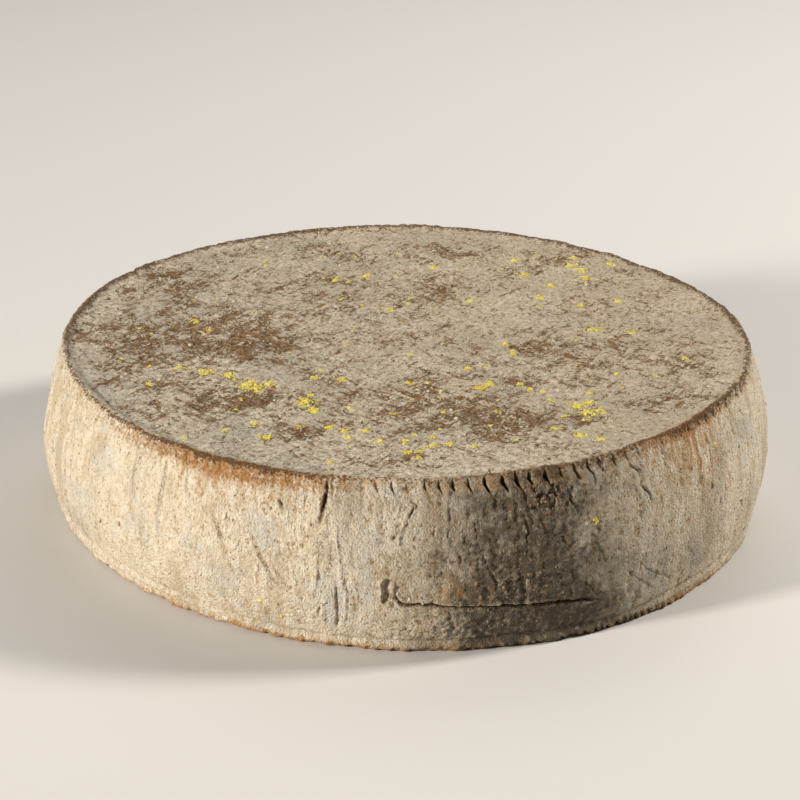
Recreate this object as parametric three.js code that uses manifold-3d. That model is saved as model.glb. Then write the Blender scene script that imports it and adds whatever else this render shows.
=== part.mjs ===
// A whole wheel of tomme, a pressed cow's milk cheese with a dry, mould-grown rind.
// Millimetres, +Z up. The origin is the middle of the flat underside, and -Y is the wheel's front.
// Places on the rind are an angle in degrees from the front, positive towards +X, and a height.
import * as THREE from "three";
import { mergeVertices } from "three/addons/utils/BufferGeometryUtils.js";
import Module from "manifold-3d";

const wasm = await Module();
wasm.setup();

// The wheel's main sizes
const WHEEL_HEIGHT = 75;
const BELLY_RADIUS = 160;
const BELLY_HEIGHT = 30;
const TOP_RIM_RADIUS = 150.6;
const BASE_RIM_RADIUS = 153;

// How the wheel is out of true: harmonics round it as [turns, cosine, sine] amounts in mm
const OVAL = [[2, -0.03, 1.94], [3, 0.63, 1.18], [4, 0.52, -0.66]];
const RIM_WAVE = [[1, -1.07, 2.07], [2, -0.47, 2.18], [3, -0.16, -0.29], [4, 0.26, -0.36]];

// Low swells of the rind: each wave's run along x, y and z for one radian, its phase and its height
const SWELLS = [
  { x: 13, y: 19, z: 17, phase: 0.6, height: 0.32 },
  { x: -23, y: 11, z: 29, phase: 1.9, height: 0.26 },
  { x: 8.3, y: -9.1, z: 6.1, phase: 0, height: 0.2 },
];

// The top face: a raised lip at the rim, a groove inside it and a slight hollow towards the middle
const RIM_CORNER = 2.4;
const RIM_SHOULDER = { inward: 0.8, drop: 0.5 };
const LIP_PEAK = { inward: 2.2, height: 0.4 };
const LIP_FOOT = { inward: 5, height: -0.4 };
const GROOVE_DROP = 0.7;
const MIDDLE_SAG = 1.8;
const TOP_RINGS = [9, 21, 38, 60, 86, 118];

// The flange that the mould leaves round the foot, with a ragged edge
const FLANGE_HEIGHT = 4.6;
const FLANGE_REACH = 1.3;
const FLANGE_RAGGED = [[17, 0.1, 0.12], [31, 0.1, -0.14], [53, 0.06, 0.25]];
const FLANGE_GROOVE = { above: 1.2, spread: 1.4, depth: 0.8 };
const FLANGE_FADE = 3.2;
const FOOT_BEVEL = 3.4;
const BEVEL_HEIGHT = 3;
const BEVEL_LEFT = 0.4;
const FOOT_RINGS = [1.1, 2.7, 4.6, 6, 7.8];

// Where each unevenness sets in and fades: heights, drops below the wheel's height or shares of its radius
const FLANGE_ONSET = 0.5;
const SIDE_ONSET = { from: 2, to: 14 };
const SIDE_END = { from: 8, to: 1 };
const TOP_ONSET = { from: 4, to: 2 };
const TOP_END = { from: 0.88, to: 0.93 };
const OVAL_FULL = 0.8;

// Fineness of the solid
const STATIONS = 120;
const SIDE_RINGS = 9;

// Pleats of the press cloth that cut into the rim, one every few degrees
const PLEAT_COUNT = 156;
const PLEAT_WIDTH = 2.1;
const PLEAT_DEPTH = 2.3;
const PLEAT_RUN = 6.5;
const PLEAT_SLANT = 1;
const PLEAT_STRAY = 0.3;
const PLEAT_START = 1;
const PLEAT_KEPT = 0.42;
const PLEAT_MOUTH = 2.5;
const PLEAT_MARK = { least: 0.62, range: 0.6, most: 1.15 };
const PLEAT_LENGTH = { least: 0.55, range: 0.75, whenFaint: 0.5 };
const PLEAT_SPREAD = { atMouth: 0.9, whenFaint: 0.7 };
const PLEAT_GROUPS = [
  { at: 15, spread: 16, strength: 1 },
  { at: -41, spread: 12, strength: 0.42 },
  { at: 63, spread: 14, strength: 0.5 },
  { at: 128, spread: 20, strength: 0.75 },
  { at: -118, spread: 22, strength: 0.6 },
  { at: 184, spread: 14, strength: 0.8 },
];

// Where a pleat is measured: down its run, inward from the rim, how full it is and how far it faces up
const PLEAT_STOPS = [
  { part: 0, inward: 2.6, full: 0.15, upward: 1 },
  { part: 0, inward: 0, full: 1, upward: 0.5 },
  { part: 0.5, inward: 0, full: 0.85, upward: 0 },
  { part: 1, inward: 0, full: 0.12, upward: 0 },
];

// Creases pressed into the side: path of [angle, height], and how wide and deep the cut is
const CREASES = {
  foldUpper: { path: [[-11.9, 76], [-12.1, 69], [-12.3, 63], [-12.7, 57]], width: 3, depth: 2.2 },
  foldUpperTwin: { path: [[-10.8, 70], [-11.5, 66], [-11.9, 60]], width: 2, depth: 1.2 },
  foldMiddle: { path: [[-11.6, 56], [-10.8, 47], [-11.1, 41], [-11.4, 34]], width: 2.4, depth: 1.4 },
  foldFootRight: { path: [[-10.1, 33], [-9.9, 24], [-9.9, 18], [-9.9, 11]], width: 3, depth: 1.9 },
  foldFootLeft: { path: [[-12.5, 23], [-12.7, 18], [-13.2, 12]], width: 2.8, depth: 2 },
  bandSlit: {
    path: [
      [-2, 30.8], [-1.2, 27], [-0.1, 24.6], [3, 24.4],
      [7.9, 23.2], [14.9, 21.4], [23, 19.4], [30, 16.2],
    ],
    width: 1.9, depth: 2,
  },
  nick: { path: [[1.3, 66.2], [0.1, 61.2], [-0.3, 57.2], [-0.7, 51.2]], width: 2, depth: 1.2 },
  nickRight: { path: [[2.3, 61.2], [1.9, 57.8], [1.6, 54.2]], width: 1.7, depth: 1 },
  slantFront: { path: [[10.4, 46.4], [11.4, 40.2], [12.7, 33.2], [14.1, 27.4]], width: 2, depth: 1.2 },
  longSlantLeft: {
    path: [[-30.9, 57.2], [-29.3, 50.2], [-28, 44.2], [-27.3, 38], [-26.1, 31.2], [-24, 25]],
    width: 1.9, depth: 1.2,
  },
  longSlantRight: {
    path: [[-23.6, 50], [-22.4, 44], [-21.3, 38.4], [-19.6, 31], [-17.8, 26]],
    width: 2, depth: 1.3,
  },
  shortSlant: { path: [[-19.4, 65], [-18.8, 62], [-18.1, 58.6]], width: 2.1, depth: 1.4 },
  flakeEdge: {
    path: [[34.5, 69.8], [36.5, 65.2], [36.8, 59.8], [38, 54.6], [38.1, 49.2]],
    width: 2, depth: 1.4,
  },
  lowArc: { path: [[32.5, 29.2], [35.7, 21], [39.6, 13.2]], width: 1.7, depth: 1 },
  lowArcTwin: { path: [[35, 30.2], [38.2, 22.4], [41, 17.8], [44.3, 13]], width: 1.6, depth: 0.9 },
  sideLine: { path: [[-40.3, 68], [-40, 56.2], [-40.2, 45.2], [-40.4, 31.4]], width: 1.8, depth: 0.9 },
  sideLineLeft: { path: [[-47.1, 70.2], [-46.2, 61.2], [-45.8, 51.2], [-46.1, 43.2]], width: 1.9, depth: 1 },
  rightNick: { path: [[55.8, 49.4], [56.8, 45.4], [57.8, 41]], width: 1.8, depth: 1.1 },
  rearFold: { path: [[96, 71], [97.4, 60], [96.8, 48], [98.2, 35], [97.6, 24]], width: 2.4, depth: 1.5 },
  rearSlant: { path: [[131, 62], [134, 51], [138.5, 40], [141, 31]], width: 2, depth: 1.2 },
  backFold: { path: [[176, 69], [175.2, 57], [176.6, 44], [176, 30]], width: 2.6, depth: 1.6 },
  backBand: { path: [[198, 23], [206, 21.4], [216, 21.8], [226, 19.4]], width: 1.8, depth: 1.4 },
  leftRearSlant: { path: [[250, 60], [247, 50], [243.5, 39], [242, 28]], width: 2, depth: 1.3 },
};

// Folds of rind that stand proud beside the creases
const RIDGES = {
  foldUpperRidge: { path: [[-11.4, 73], [-11.4, 66], [-12, 60.2], [-12, 55]], width: 3, height: 0.9 },
  foldLongRidge: {
    path: [[-10.4, 58], [-9.9, 49], [-9.5, 42], [-9.3, 35], [-8.6, 28], [-8.8, 20], [-9, 12]],
    width: 3.4, height: 1.1,
  },
  foldPeak: {
    path: [[-11, 32], [-11.6, 28], [-11.9, 23], [-12.1, 17], [-12.1, 11]],
    width: 3.2, height: 1.2,
  },
  slantRidge: { path: [[-26.7, 40.2], [-25.5, 34.2], [-23.6, 27.2]], width: 2.6, height: 0.6 },
  steepRidge: { path: [[-17, 40], [-16.2, 31], [-15.3, 22]], width: 2.6, height: 0.6 },
  curl: { path: [[14.9, 35.4], [13.7, 33.6], [13.1, 30.8], [14.2, 28], [15.5, 25]], width: 2.2, height: 0.9 },
  pitLip: { path: [[-1.8, 37.2], [-1.8, 32.8], [-2.1, 28.2], [-2.3, 24.6]], width: 2.2, height: 0.8 },
  nickLip: { path: [[0.7, 66.2], [-0.4, 60.2], [-1.1, 55.2], [-1.4, 48.2]], width: 2.2, height: 0.7 },
};

// One deep pit above the foot, with its long axis upright
const PIT = { angle: -2.9, height: 30.6, width: 4.4, length: 11.5, depth: 2.6 };

// How far a cutter stands off the rind, and how thin a crease or fold is at its ends
const CUT_OVERHANG = 1.5;
const THIN_END = 0.18;
const END_ROUNDNESS = 0.6;

const RAD = Math.PI / 180;
const UP = new THREE.Vector3(0, 0, 1);

// A repeatable share from 0 to 1 for piece number k of a set
function share(k, set) {
  const s = Math.sin(k * 12.9898 + set * 78.233) * 43758.5453;
  return s - Math.floor(s);
}

function smoothstep(low, high, x) {
  const t = THREE.MathUtils.clamp((x - low) / (high - low), 0, 1);
  return t * t * (3 - 2 * t);
}

// The sum of harmonics at an angle in degrees from the front
function harmonics(series, angle) {
  return series.reduce(
    (sum, [turns, c, s]) => sum + c * Math.cos(turns * angle * RAD) + s * Math.sin(turns * angle * RAD),
    0,
  );
}

// Radius of the round belly at a height, before the wheel is made out of true
function bellyRadius(z) {
  const low = z < BELLY_HEIGHT;
  const end = low ? BASE_RIM_RADIUS : TOP_RIM_RADIUS;
  const away = low ? 1 - z / BELLY_HEIGHT : (z - BELLY_HEIGHT) / (WHEEL_HEIGHT - BELLY_HEIGHT);
  return end + (BELLY_RADIUS - end) * (1 - away * away);
}

// How far the flange stands out at a height: a bead with a shallow groove above it
function flange(z) {
  const bead = Math.sin(Math.PI * THREE.MathUtils.clamp(z / FLANGE_HEIGHT, 0, 1));
  const away = (z - FLANGE_HEIGHT - FLANGE_GROOVE.above) / FLANGE_GROOVE.spread;
  return FLANGE_REACH * bead - FLANGE_GROOVE.depth * Math.exp(-away * away);
}

// The side of the meridian, from the flange up to the start of the rim
function sideProfile() {
  const bevelled = (z) => BEVEL_LEFT * FOOT_BEVEL * (1 - smoothstep(0, BEVEL_HEIGHT, z));
  const foot = FOOT_RINGS.map((z) => [bellyRadius(z) + flange(z) - bevelled(z), z]);
  const first = FOOT_RINGS.at(-1);
  const rise = (WHEEL_HEIGHT - RIM_CORNER - first) / SIDE_RINGS;
  const side = Array.from({ length: SIDE_RINGS }, (_, i) => first + rise * (i + 1));
  return [...foot, ...side.map((z) => [bellyRadius(z), z])];
}

// The top of the meridian, from the rim over the lip and in to the middle
function topProfile() {
  const rim = bellyRadius(WHEEL_HEIGHT - RIM_CORNER);
  const floor = WHEEL_HEIGHT - GROOVE_DROP;
  const rings = TOP_RINGS.map((inward) => rim - inward);
  return [
    [rim - RIM_SHOULDER.inward, WHEEL_HEIGHT - RIM_SHOULDER.drop],
    [rim - LIP_PEAK.inward, WHEEL_HEIGHT + LIP_PEAK.height],
    [rim - LIP_FOOT.inward, WHEEL_HEIGHT + LIP_FOOT.height],
    ...rings.map((r) => [r, floor - MIDDLE_SAG * (1 - (r / rim) ** 2)]),
    [0, floor - MIDDLE_SAG],
  ];
}

// The meridian from the middle of the underside, up the side and in to the middle of the top
function meridian() {
  const under = [[0, 0], [BASE_RIM_RADIUS - FOOT_BEVEL, 0]];
  return [...under, ...sideProfile(), ...topProfile()].map(([r, z]) => new THREE.Vector2(r, z));
}

// Low swells of the rind at a place, from waves that never line up
function swell(angle, r, z) {
  const x = r * Math.sin(angle * RAD);
  const y = -r * Math.cos(angle * RAD);
  return SWELLS.reduce((sum, w) => sum + w.height * Math.sin(x / w.x + y / w.y + z / w.z + w.phase), 0);
}

// Moves a point of the true wheel of revolution to where the uneven rind has it
function settle(angle, r, z) {
  const out = r / BELLY_RADIUS;
  const leftBelow = (end) => 1 - smoothstep(WHEEL_HEIGHT - end.from, WHEEL_HEIGHT - end.to, z);
  const onFlange = smoothstep(0, FLANGE_ONSET, z)
    * (1 - smoothstep(FLANGE_HEIGHT, FLANGE_HEIGHT + FLANGE_FADE, z));
  const onSide = smoothstep(SIDE_ONSET.from, SIDE_ONSET.to, z) * leftBelow(SIDE_END);
  const onTop = (1 - leftBelow(TOP_ONSET)) * (1 - smoothstep(TOP_END.from, TOP_END.to, out));
  const oval = harmonics(OVAL, angle) * smoothstep(0, OVAL_FULL, out);
  const radius = r + oval + harmonics(FLANGE_RAGGED, angle) * onFlange + swell(angle, r, z) * onSide;
  const lift = harmonics(RIM_WAVE, angle) * (z / WHEEL_HEIGHT) * out * out;
  const height = z + lift + swell(angle, r, 0) * onTop;
  return new THREE.Vector3(radius * Math.sin(angle * RAD), -radius * Math.cos(angle * RAD), height);
}

// The uneven wheel before anything is cut into it, as one closed surface
function wheelSurface() {
  const lathe = new THREE.LatheGeometry(meridian(), STATIONS);
  const position = lathe.getAttribute("position");
  for (let i = 0; i < position.count; i++) {
    const x = position.getX(i);
    const depth = position.getZ(i);
    const p = settle(Math.atan2(x, depth) / RAD, Math.hypot(x, depth), position.getY(i));
    position.setXYZ(i, p.x, p.y, p.z);
  }
  return lathe;
}

// A copy of an indexed surface with each face turned over
function turnedOver(geometry) {
  const turned = geometry.clone();
  const index = turned.index.array;
  for (let i = 0; i < index.length; i += 3) {
    const second = index[i + 1];
    index[i + 1] = index[i + 2];
    index[i + 2] = second;
  }
  return turned;
}

// A closed surface as a solid for joining and cutting, with its faces turned outward
function solid(geometry) {
  const bare = geometry.clone();
  bare.deleteAttribute("normal");
  bare.deleteAttribute("uv");
  const merged = mergeVertices(bare, 1e-4);
  const made = (surface) => new wasm.Manifold(new wasm.Mesh({
    numProp: 3,
    vertProperties: surface.getAttribute("position").array,
    triVerts: new Uint32Array(surface.index.array),
  }));
  const first = made(merged);
  return first.volume() > 0 ? first : made(turnedOver(merged));
}

// A place on the side of the wheel and the direction out of the rind there
function onSide(angle, z) {
  const at = settle(angle, bellyRadius(z) + flange(z), z);
  const above = settle(angle, bellyRadius(z + 1) + flange(z + 1), z + 1);
  const beside = settle(angle + 0.5, bellyRadius(z) + flange(z), z);
  const out = beside.sub(at).cross(above.sub(at)).normalize();
  return { at, out };
}

// A solid through three-cornered sections that follow one another
function loft(sections) {
  const positions = sections.flat().flatMap((p) => p.toArray());
  const index = [];
  const last = 3 * (sections.length - 1);
  for (let row = 0; row < last; row += 3) {
    for (let i = 0; i < 3; i++) {
      const a = row + i;
      const b = row + ((i + 1) % 3);
      index.push(a, b, b + 3, a, b + 3, a + 3);
    }
  }
  index.push(0, 2, 1, last, last + 1, last + 2);
  const geometry = new THREE.BufferGeometry();
  geometry.setAttribute("position", new THREE.Float32BufferAttribute(positions, 3));
  geometry.setIndex(index);
  return solid(geometry);
}

// Stations along a smooth path on the side, with the direction across the path and how full it is
function stationsAlong(path) {
  const count = 2 * (path.length - 1);
  const curve = new THREE.CatmullRomCurve3(path.map(([angle, z]) => new THREE.Vector3(angle, z, 0)));
  const spots = curve.getPoints(count).map((p) => onSide(p.x, p.y));
  return spots.map(({ at, out }, i) => {
    const from = spots[Math.max(i - 1, 0)].at;
    const to = spots[Math.min(i + 1, count)].at;
    const across = to.clone().sub(from).cross(out).normalize();
    const full = THIN_END + (1 - THIN_END) * Math.sin((Math.PI * i) / count) ** END_ROUNDNESS;
    return { at, out, across, full };
  });
}

// One three-cornered section: two corners at a level off the rind, the third at another
function section({ at, out, across }, half, level, tip) {
  const base = at.clone().addScaledVector(out, level);
  return [
    base.clone().addScaledVector(across, half),
    base.clone().addScaledVector(across, -half),
    at.clone().addScaledVector(out, tip),
  ];
}

// A V-shaped cut that follows a path on the side
function creaseCutter({ path, width, depth }) {
  const spread = (width / 2) * (1 + CUT_OVERHANG / depth);
  return loft(stationsAlong(path).map((spot) => (
    section(spot, spread * spot.full, CUT_OVERHANG, -depth * spot.full)
  )));
}

// A fold of rind that stands proud along a path on the side
function foldSolid({ path, width, height }) {
  return loft(stationsAlong(path).map((spot) => section(spot, width, -CUT_OVERHANG, height * spot.full)));
}

// How strongly the press cloth's pleat number k marked the rim at its angle
function pleatStrength(angle, k) {
  const marked = PLEAT_GROUPS.map(({ at, spread, strength }) => {
    const away = ((angle - at + 540) % 360) - 180;
    return strength * Math.exp(-((away / spread) ** 2));
  });
  return Math.max(...marked) * (PLEAT_MARK.least + PLEAT_MARK.range * share(k, 1));
}

// A pleat's cut, from just inside the rim, over the edge and down the side
function pleatCutter(angle, strength, k) {
  const marked = (whenFaint) => whenFaint + (1 - whenFaint) * strength;
  const length = PLEAT_LENGTH.least + PLEAT_LENGTH.range * share(k, 2);
  const run = PLEAT_RUN * length * marked(PLEAT_LENGTH.whenFaint);
  const half = PLEAT_SPREAD.atMouth * PLEAT_WIDTH * marked(PLEAT_SPREAD.whenFaint);
  return loft(PLEAT_STOPS.map(({ part, inward, full, upward }) => {
    const turn = angle + (PLEAT_SLANT * part * run) / PLEAT_RUN;
    const { at, out } = onSide(turn, WHEEL_HEIGHT - PLEAT_START - part * run);
    const across = new THREE.Vector3(Math.cos(turn * RAD), Math.sin(turn * RAD), 0);
    at.addScaledVector(across.clone().cross(UP), -inward);
    const spot = { at, out: out.lerp(UP, upward).normalize(), across };
    return section(spot, half, PLEAT_MOUTH, -PLEAT_DEPTH * strength * full);
  }));
}

// The pleats that are deep enough to be cut into the solid
function pleatCutters() {
  const pleats = Array.from({ length: PLEAT_COUNT }, (_, k) => {
    const angle = ((k + PLEAT_STRAY * (share(k, 4) - 0.5)) * 360) / PLEAT_COUNT;
    return { angle, k, strength: pleatStrength(angle, k) };
  });
  const kept = pleats.filter(({ strength }) => strength > PLEAT_KEPT);
  return kept.map(({ angle, k, strength }) => pleatCutter(angle, Math.min(strength, PLEAT_MARK.most), k));
}

// The pit above the foot: a long dimple sunk into the side
function pitCutter() {
  const { at, out } = onSide(PIT.angle, PIT.height);
  const dimple = new THREE.SphereGeometry(1, 12, 8);
  dimple.scale(PIT.width / 2, PIT.depth, PIT.length / 2);
  const across = UP.clone().cross(out).normalize();
  const up = out.clone().cross(across);
  dimple.applyMatrix4(new THREE.Matrix4().makeBasis(across, out, up).setPosition(at));
  return solid(dimple);
}

// The wheel with its folds joined on and its creases, pleats and pit cut in
function carvedWheel() {
  const folds = Object.values(RIDGES).map(foldSolid);
  const cuts = [...Object.values(CREASES).map(creaseCutter), ...pleatCutters(), pitCutter()];
  const whole = wasm.Manifold.union([solid(wheelSurface()), ...folds]);
  return whole.subtract(wasm.Manifold.union(cuts));
}

// A solid's surface as a three.js geometry
function geometryOf(made) {
  const { numProp, numVert, vertProperties, triVerts } = made.getMesh();
  const positions = new Float32Array(numVert * 3);
  for (let i = 0; i < numVert; i++) {
    positions.set(vertProperties.subarray(i * numProp, i * numProp + 3), i * 3);
  }
  const geometry = new THREE.BufferGeometry();
  geometry.setAttribute("position", new THREE.BufferAttribute(positions, 3));
  geometry.setIndex(new THREE.BufferAttribute(triVerts, 1));
  geometry.computeVertexNormals();
  return geometry;
}

const rindFinish = new THREE.MeshStandardMaterial({ color: 0xb9ad99, roughness: 0.95, metalness: 0 });
const wheel = new THREE.Mesh(geometryOf(carvedWheel()), rindFinish);
wheel.name = "cheese_wheel";

const part = new THREE.Group();
part.add(wheel);

export default part;
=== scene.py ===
"""A whole wheel of tomme with its mould-grown rind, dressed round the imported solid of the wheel.

The rind is worked out in millimetres as height fields over the wheel of revolution and put into meshes
in metres. Places on the side are an angle in degrees from the front, positive towards +X, and a height.
Places on the top are x and y, with -Y towards the front.
"""
import itertools
import logging
import math
from collections.abc import Iterator
from dataclasses import dataclass, field
from enum import Enum

import bpy
import numpy as np
from mathutils import Matrix, Vector


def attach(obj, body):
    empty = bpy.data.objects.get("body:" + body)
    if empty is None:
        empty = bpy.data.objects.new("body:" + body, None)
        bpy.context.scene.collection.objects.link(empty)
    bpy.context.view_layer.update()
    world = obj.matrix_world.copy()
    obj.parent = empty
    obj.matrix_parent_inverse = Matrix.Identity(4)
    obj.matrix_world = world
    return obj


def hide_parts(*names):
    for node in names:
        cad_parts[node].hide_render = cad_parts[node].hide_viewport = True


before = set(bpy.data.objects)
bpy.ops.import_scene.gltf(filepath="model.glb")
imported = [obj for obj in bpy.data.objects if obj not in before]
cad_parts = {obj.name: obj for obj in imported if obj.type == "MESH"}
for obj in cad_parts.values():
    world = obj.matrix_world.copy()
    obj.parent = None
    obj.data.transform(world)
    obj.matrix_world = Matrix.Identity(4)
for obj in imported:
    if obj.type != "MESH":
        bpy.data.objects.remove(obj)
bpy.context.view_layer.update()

LOG = logging.getLogger("tomme")
MM = 0.001
NODE = "cheese_wheel"
BODY = "root"
Array = np.ndarray
Color = tuple[float, float, float]


def smoothstep(low: float, high: float, x: Array) -> Array:
    """Eases from 0 below low to 1 above high.

    Args:
        low: where the ease starts.
        high: where it ends.
        x: the values to ease.

    Returns:
        3t^2 - 2t^3 of the share t of the way from low to high.
    """
    t = np.clip((np.asarray(x, float) - low) / (high - low), 0.0, 1.0)
    return t * t * (3.0 - 2.0 * t)


def bump(x: Array, middle: float, spread: float) -> Array:
    """A bell curve: e to the minus square of the distance from middle, in spreads."""
    return np.exp(-(((x - middle) / spread) ** 2))


def around(angle: Array, middle: float) -> Array:
    """The angle in degrees measured from middle, between -180 and 180."""
    return (angle - middle + 180.0) % 360.0 - 180.0


def facing(angle: Array, middle: float, spread: float) -> Array:
    """How squarely a place faces a direction: a bell curve of the degrees between them."""
    return bump(around(angle, middle), 0.0, spread)


def wheel_points(angle: Array, radius: Array, height: Array) -> Array:
    """Places round the wheel as x, y, z: radius times the angle's sine, and minus its cosine."""
    a = np.radians(angle)
    return np.stack([radius * np.sin(a), -radius * np.cos(a), height + 0.0 * a], axis=-1)


def unit(v: Array) -> Array:
    """Vectors scaled to a length of one."""
    return v / np.maximum(np.linalg.norm(v, axis=-1, keepdims=True), 1e-12)


def share(k: Array, group: int) -> Array:
    """A repeatable share from 0 to 1 for piece number k of a group: the fraction of a large sine."""
    s = np.sin(k * 12.9898 + group * 78.233) * 43758.5453
    return s - np.floor(s)


@dataclass(frozen=True)
class Noise:
    """Smooth gradient noise over whole arrays of points, the same on every run."""

    seed: int

    def _hash(self, cell: Array) -> Array:
        """Mixes a lattice cell's three whole numbers into one of 31 bits."""
        k = cell[..., 0] * 73856093 ^ cell[..., 1] * 19349663 ^ cell[..., 2] * 83492791
        k = (k ^ self.seed * 2654435761) & 0x7FFFFFFF
        k = ((k ^ k >> 13) * 1274126177) & 0x7FFFFFFF
        return ((k ^ k >> 15) * 1103515245) & 0x7FFFFFFF

    def at(self, points: Array, size: float | tuple[float, float, float]) -> Array:
        """Gradient noise: each lattice corner's random slope, blended by a quintic ease.

        Args:
            points: places in mm, with x, y and z last.
            size: length of a lattice cell in mm, or one for each axis.

        Returns:
            Values of about -1 to 1, one for each place.
        """
        p = points / np.asarray(size, float)
        cell = np.floor(p)
        part = p - cell
        ease = part ** 3 * (part * (part * 6.0 - 15.0) + 10.0)
        cell = cell.astype(np.int64)
        total = np.zeros(points.shape[:-1])
        for corner in itertools.product((0, 1), repeat=3):
            at_corner = np.array(corner)
            h = self._hash(cell + at_corner)
            slope = np.stack([h & 1023, h >> 10 & 1023, h >> 20 & 1023], axis=-1) / 511.5 - 1.0
            weight = np.prod(np.where(at_corner, ease, 1.0 - ease), axis=-1)
            total += weight * np.sum(slope * (part - at_corner), axis=-1)
        return total * 1.5

    def layers(self, points: Array, size: float | tuple[float, float, float], count: int) -> Array:
        """Adds layers of noise, each of half the size and half the height of the one before.

        Args:
            points: places in mm.
            size: cell size of the first layer.
            count: number of layers.

        Returns:
            The sum, of about -1 to 1.
        """
        total = np.zeros(points.shape[:-1])
        for layer in range(count):
            step = Noise(self.seed + 17 * layer)
            total += 0.5 ** layer * step.at(points, np.asarray(size, float) * 0.5 ** layer)
        return total / 1.4


@dataclass(frozen=True)
class WheelForm:
    """The wheel of revolution and how it is out of true, in mm, as in the solid."""

    height: float = 75.0
    belly_radius: float = 160.0
    belly_height: float = 30.0
    top_rim_radius: float = 150.6
    base_rim_radius: float = 153.0
    rim_corner: float = 2.4
    groove_drop: float = 0.7
    middle_sag: float = 1.8
    foot_bevel: float = 3.4
    # Turns, cosine and sine amounts of the waves round the wheel
    oval: tuple = ((2, -0.03, 1.94), (3, 0.63, 1.18), (4, 0.52, -0.66))
    rim_wave: tuple = ((1, -1.07, 2.07), (2, -0.47, 2.18), (3, -0.16, -0.29), (4, 0.26, -0.36))
    ragged: tuple = ((17, 0.1, 0.12), (31, 0.1, -0.14), (53, 0.06, 0.25))
    # Run lengths along x, y and z, phase and height of each low swell
    swells: tuple = (
        (13.0, 19.0, 17.0, 0.6, 0.32), (-23.0, 11.0, 29.0, 1.9, 0.26), (8.3, -9.1, 6.1, 0.0, 0.2),
    )

    def harmonics(self, series: tuple, angle: Array) -> Array:
        """Sums cosine and sine waves round the wheel, given as (turns, cosine, sine) amounts."""
        a = np.radians(angle)
        return sum(c * np.cos(turns * a) + s * np.sin(turns * a) for turns, c, s in series)

    def belly(self, z: Array) -> Array:
        """Radius of the round side at a height: a parabola from the belly down and up to each rim."""
        z = np.asarray(z, float)
        low = z < self.belly_height
        end = np.where(low, self.base_rim_radius, self.top_rim_radius)
        up = (z - self.belly_height) / (self.height - self.belly_height)
        away = np.where(low, 1.0 - z / self.belly_height, up)
        return end + (self.belly_radius - end) * (1.0 - away * away)

    def rim_radius(self) -> float:
        """Radius where the side turns over into the rim."""
        return float(self.belly(self.height - self.rim_corner))

    def swell(self, x: Array, y: Array, z: Array) -> Array:
        """Low swells: sine waves with run lengths that never line up."""
        return sum(high * np.sin(x / rx + y / ry + z / rz + phase) for rx, ry, rz, phase, high in self.swells)

    def settle(self, angle: Array, r: Array, z: Array) -> tuple[Array, Array]:
        """Moves points of the wheel of revolution to where the uneven rind has them.

        Args:
            angle: degrees from the front.
            r: radius.
            z: height.

        Returns:
            The new radius and height.
        """
        a = np.radians(angle)
        out = r / self.belly_radius
        on_flange = smoothstep(0.0, 0.5, z) * (1.0 - smoothstep(4.6, 7.8, z))
        on_side = smoothstep(2.0, 14.0, z) * (1.0 - smoothstep(self.height - 8.0, self.height - 1.0, z))
        on_top = smoothstep(self.height - 4.0, self.height - 2.0, z) * (1.0 - smoothstep(0.88, 0.93, out))
        x, y = r * np.sin(a), -r * np.cos(a)
        radius = r + self.harmonics(self.oval, angle) * smoothstep(0.0, 0.8, out)
        radius = radius + self.harmonics(self.ragged, angle) * on_flange + self.swell(x, y, z) * on_side
        lift = self.harmonics(self.rim_wave, angle) * (z / self.height) * out * out
        return radius, z + lift + self.swell(x, y, 0.0 * z) * on_top

    def top_floor(self, r: Array) -> Array:
        """Height of the top face at a radius, before it is made uneven: a shallow dish."""
        return self.height - self.groove_drop - self.middle_sag * (1.0 - (r / self.rim_radius()) ** 2)


@dataclass(frozen=True)
class Crease:
    """A cut or, with a negative depth, a fold that follows a path of (angle, height) on the side."""

    path: tuple[tuple[float, float], ...]
    width: float
    depth: float

    def line(self, radius: float) -> Array:
        """The path as a smooth line through its points, by Catmull-Rom blending, in mm.

        Args:
            radius: turns degrees into mm along the side.

        Returns:
            Points of (mm round the side, height), eight to each step of the path.
        """
        p = np.array(self.path, float)
        p[:, 0] = np.radians(p[:, 0]) * radius
        p = np.vstack([2.0 * p[0] - p[1], p, 2.0 * p[-1] - p[-2]])
        t = np.linspace(0.0, 1.0, 8, endpoint=False)[:, None, None]
        a, b, c, d = p[:-3], p[1:-2], p[2:-1], p[3:]
        bend = (2 * a - 5 * b + 4 * c - d) * t ** 2 + (3 * b - a - 3 * c + d) * t ** 3
        line = b + 0.5 * ((c - a) * t + bend)
        return np.vstack([np.swapaxes(line, 0, 1).reshape(-1, 2), p[-2:-1]])

    def middle(self) -> float:
        """The angle halfway along the path, that wrapped angles are measured from."""
        return 0.5 * (self.path[0][0] + self.path[-1][0])


def distance_to_line(places: Array, line: Array) -> tuple[Array, Array]:
    """Measures places against a line of short straight steps.

    Each place is dropped square onto every step, held to the step's ends, and the nearest wins.

    Args:
        places: (n, 2) places.
        line: (k, 2) points of the line.

    Returns:
        The distance of each place, and the share of the line's length where it is nearest.
    """
    start, step = line[:-1], np.diff(line, axis=0)
    length = np.maximum(np.hypot(step[:, 0], step[:, 1]), 1e-6)
    away = places[:, None, :] - start
    part = np.clip(np.sum(away * step, axis=-1) / length ** 2, 0.0, 1.0)
    gap = np.linalg.norm(away - part[..., None] * step, axis=-1)
    nearest = np.argmin(gap, axis=1)
    row = np.arange(len(places))
    run = np.concatenate([[0.0], np.cumsum(length)])
    along = (run[nearest] + part[row, nearest] * length[nearest]) / run[-1]
    return gap[row, nearest], along


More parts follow.
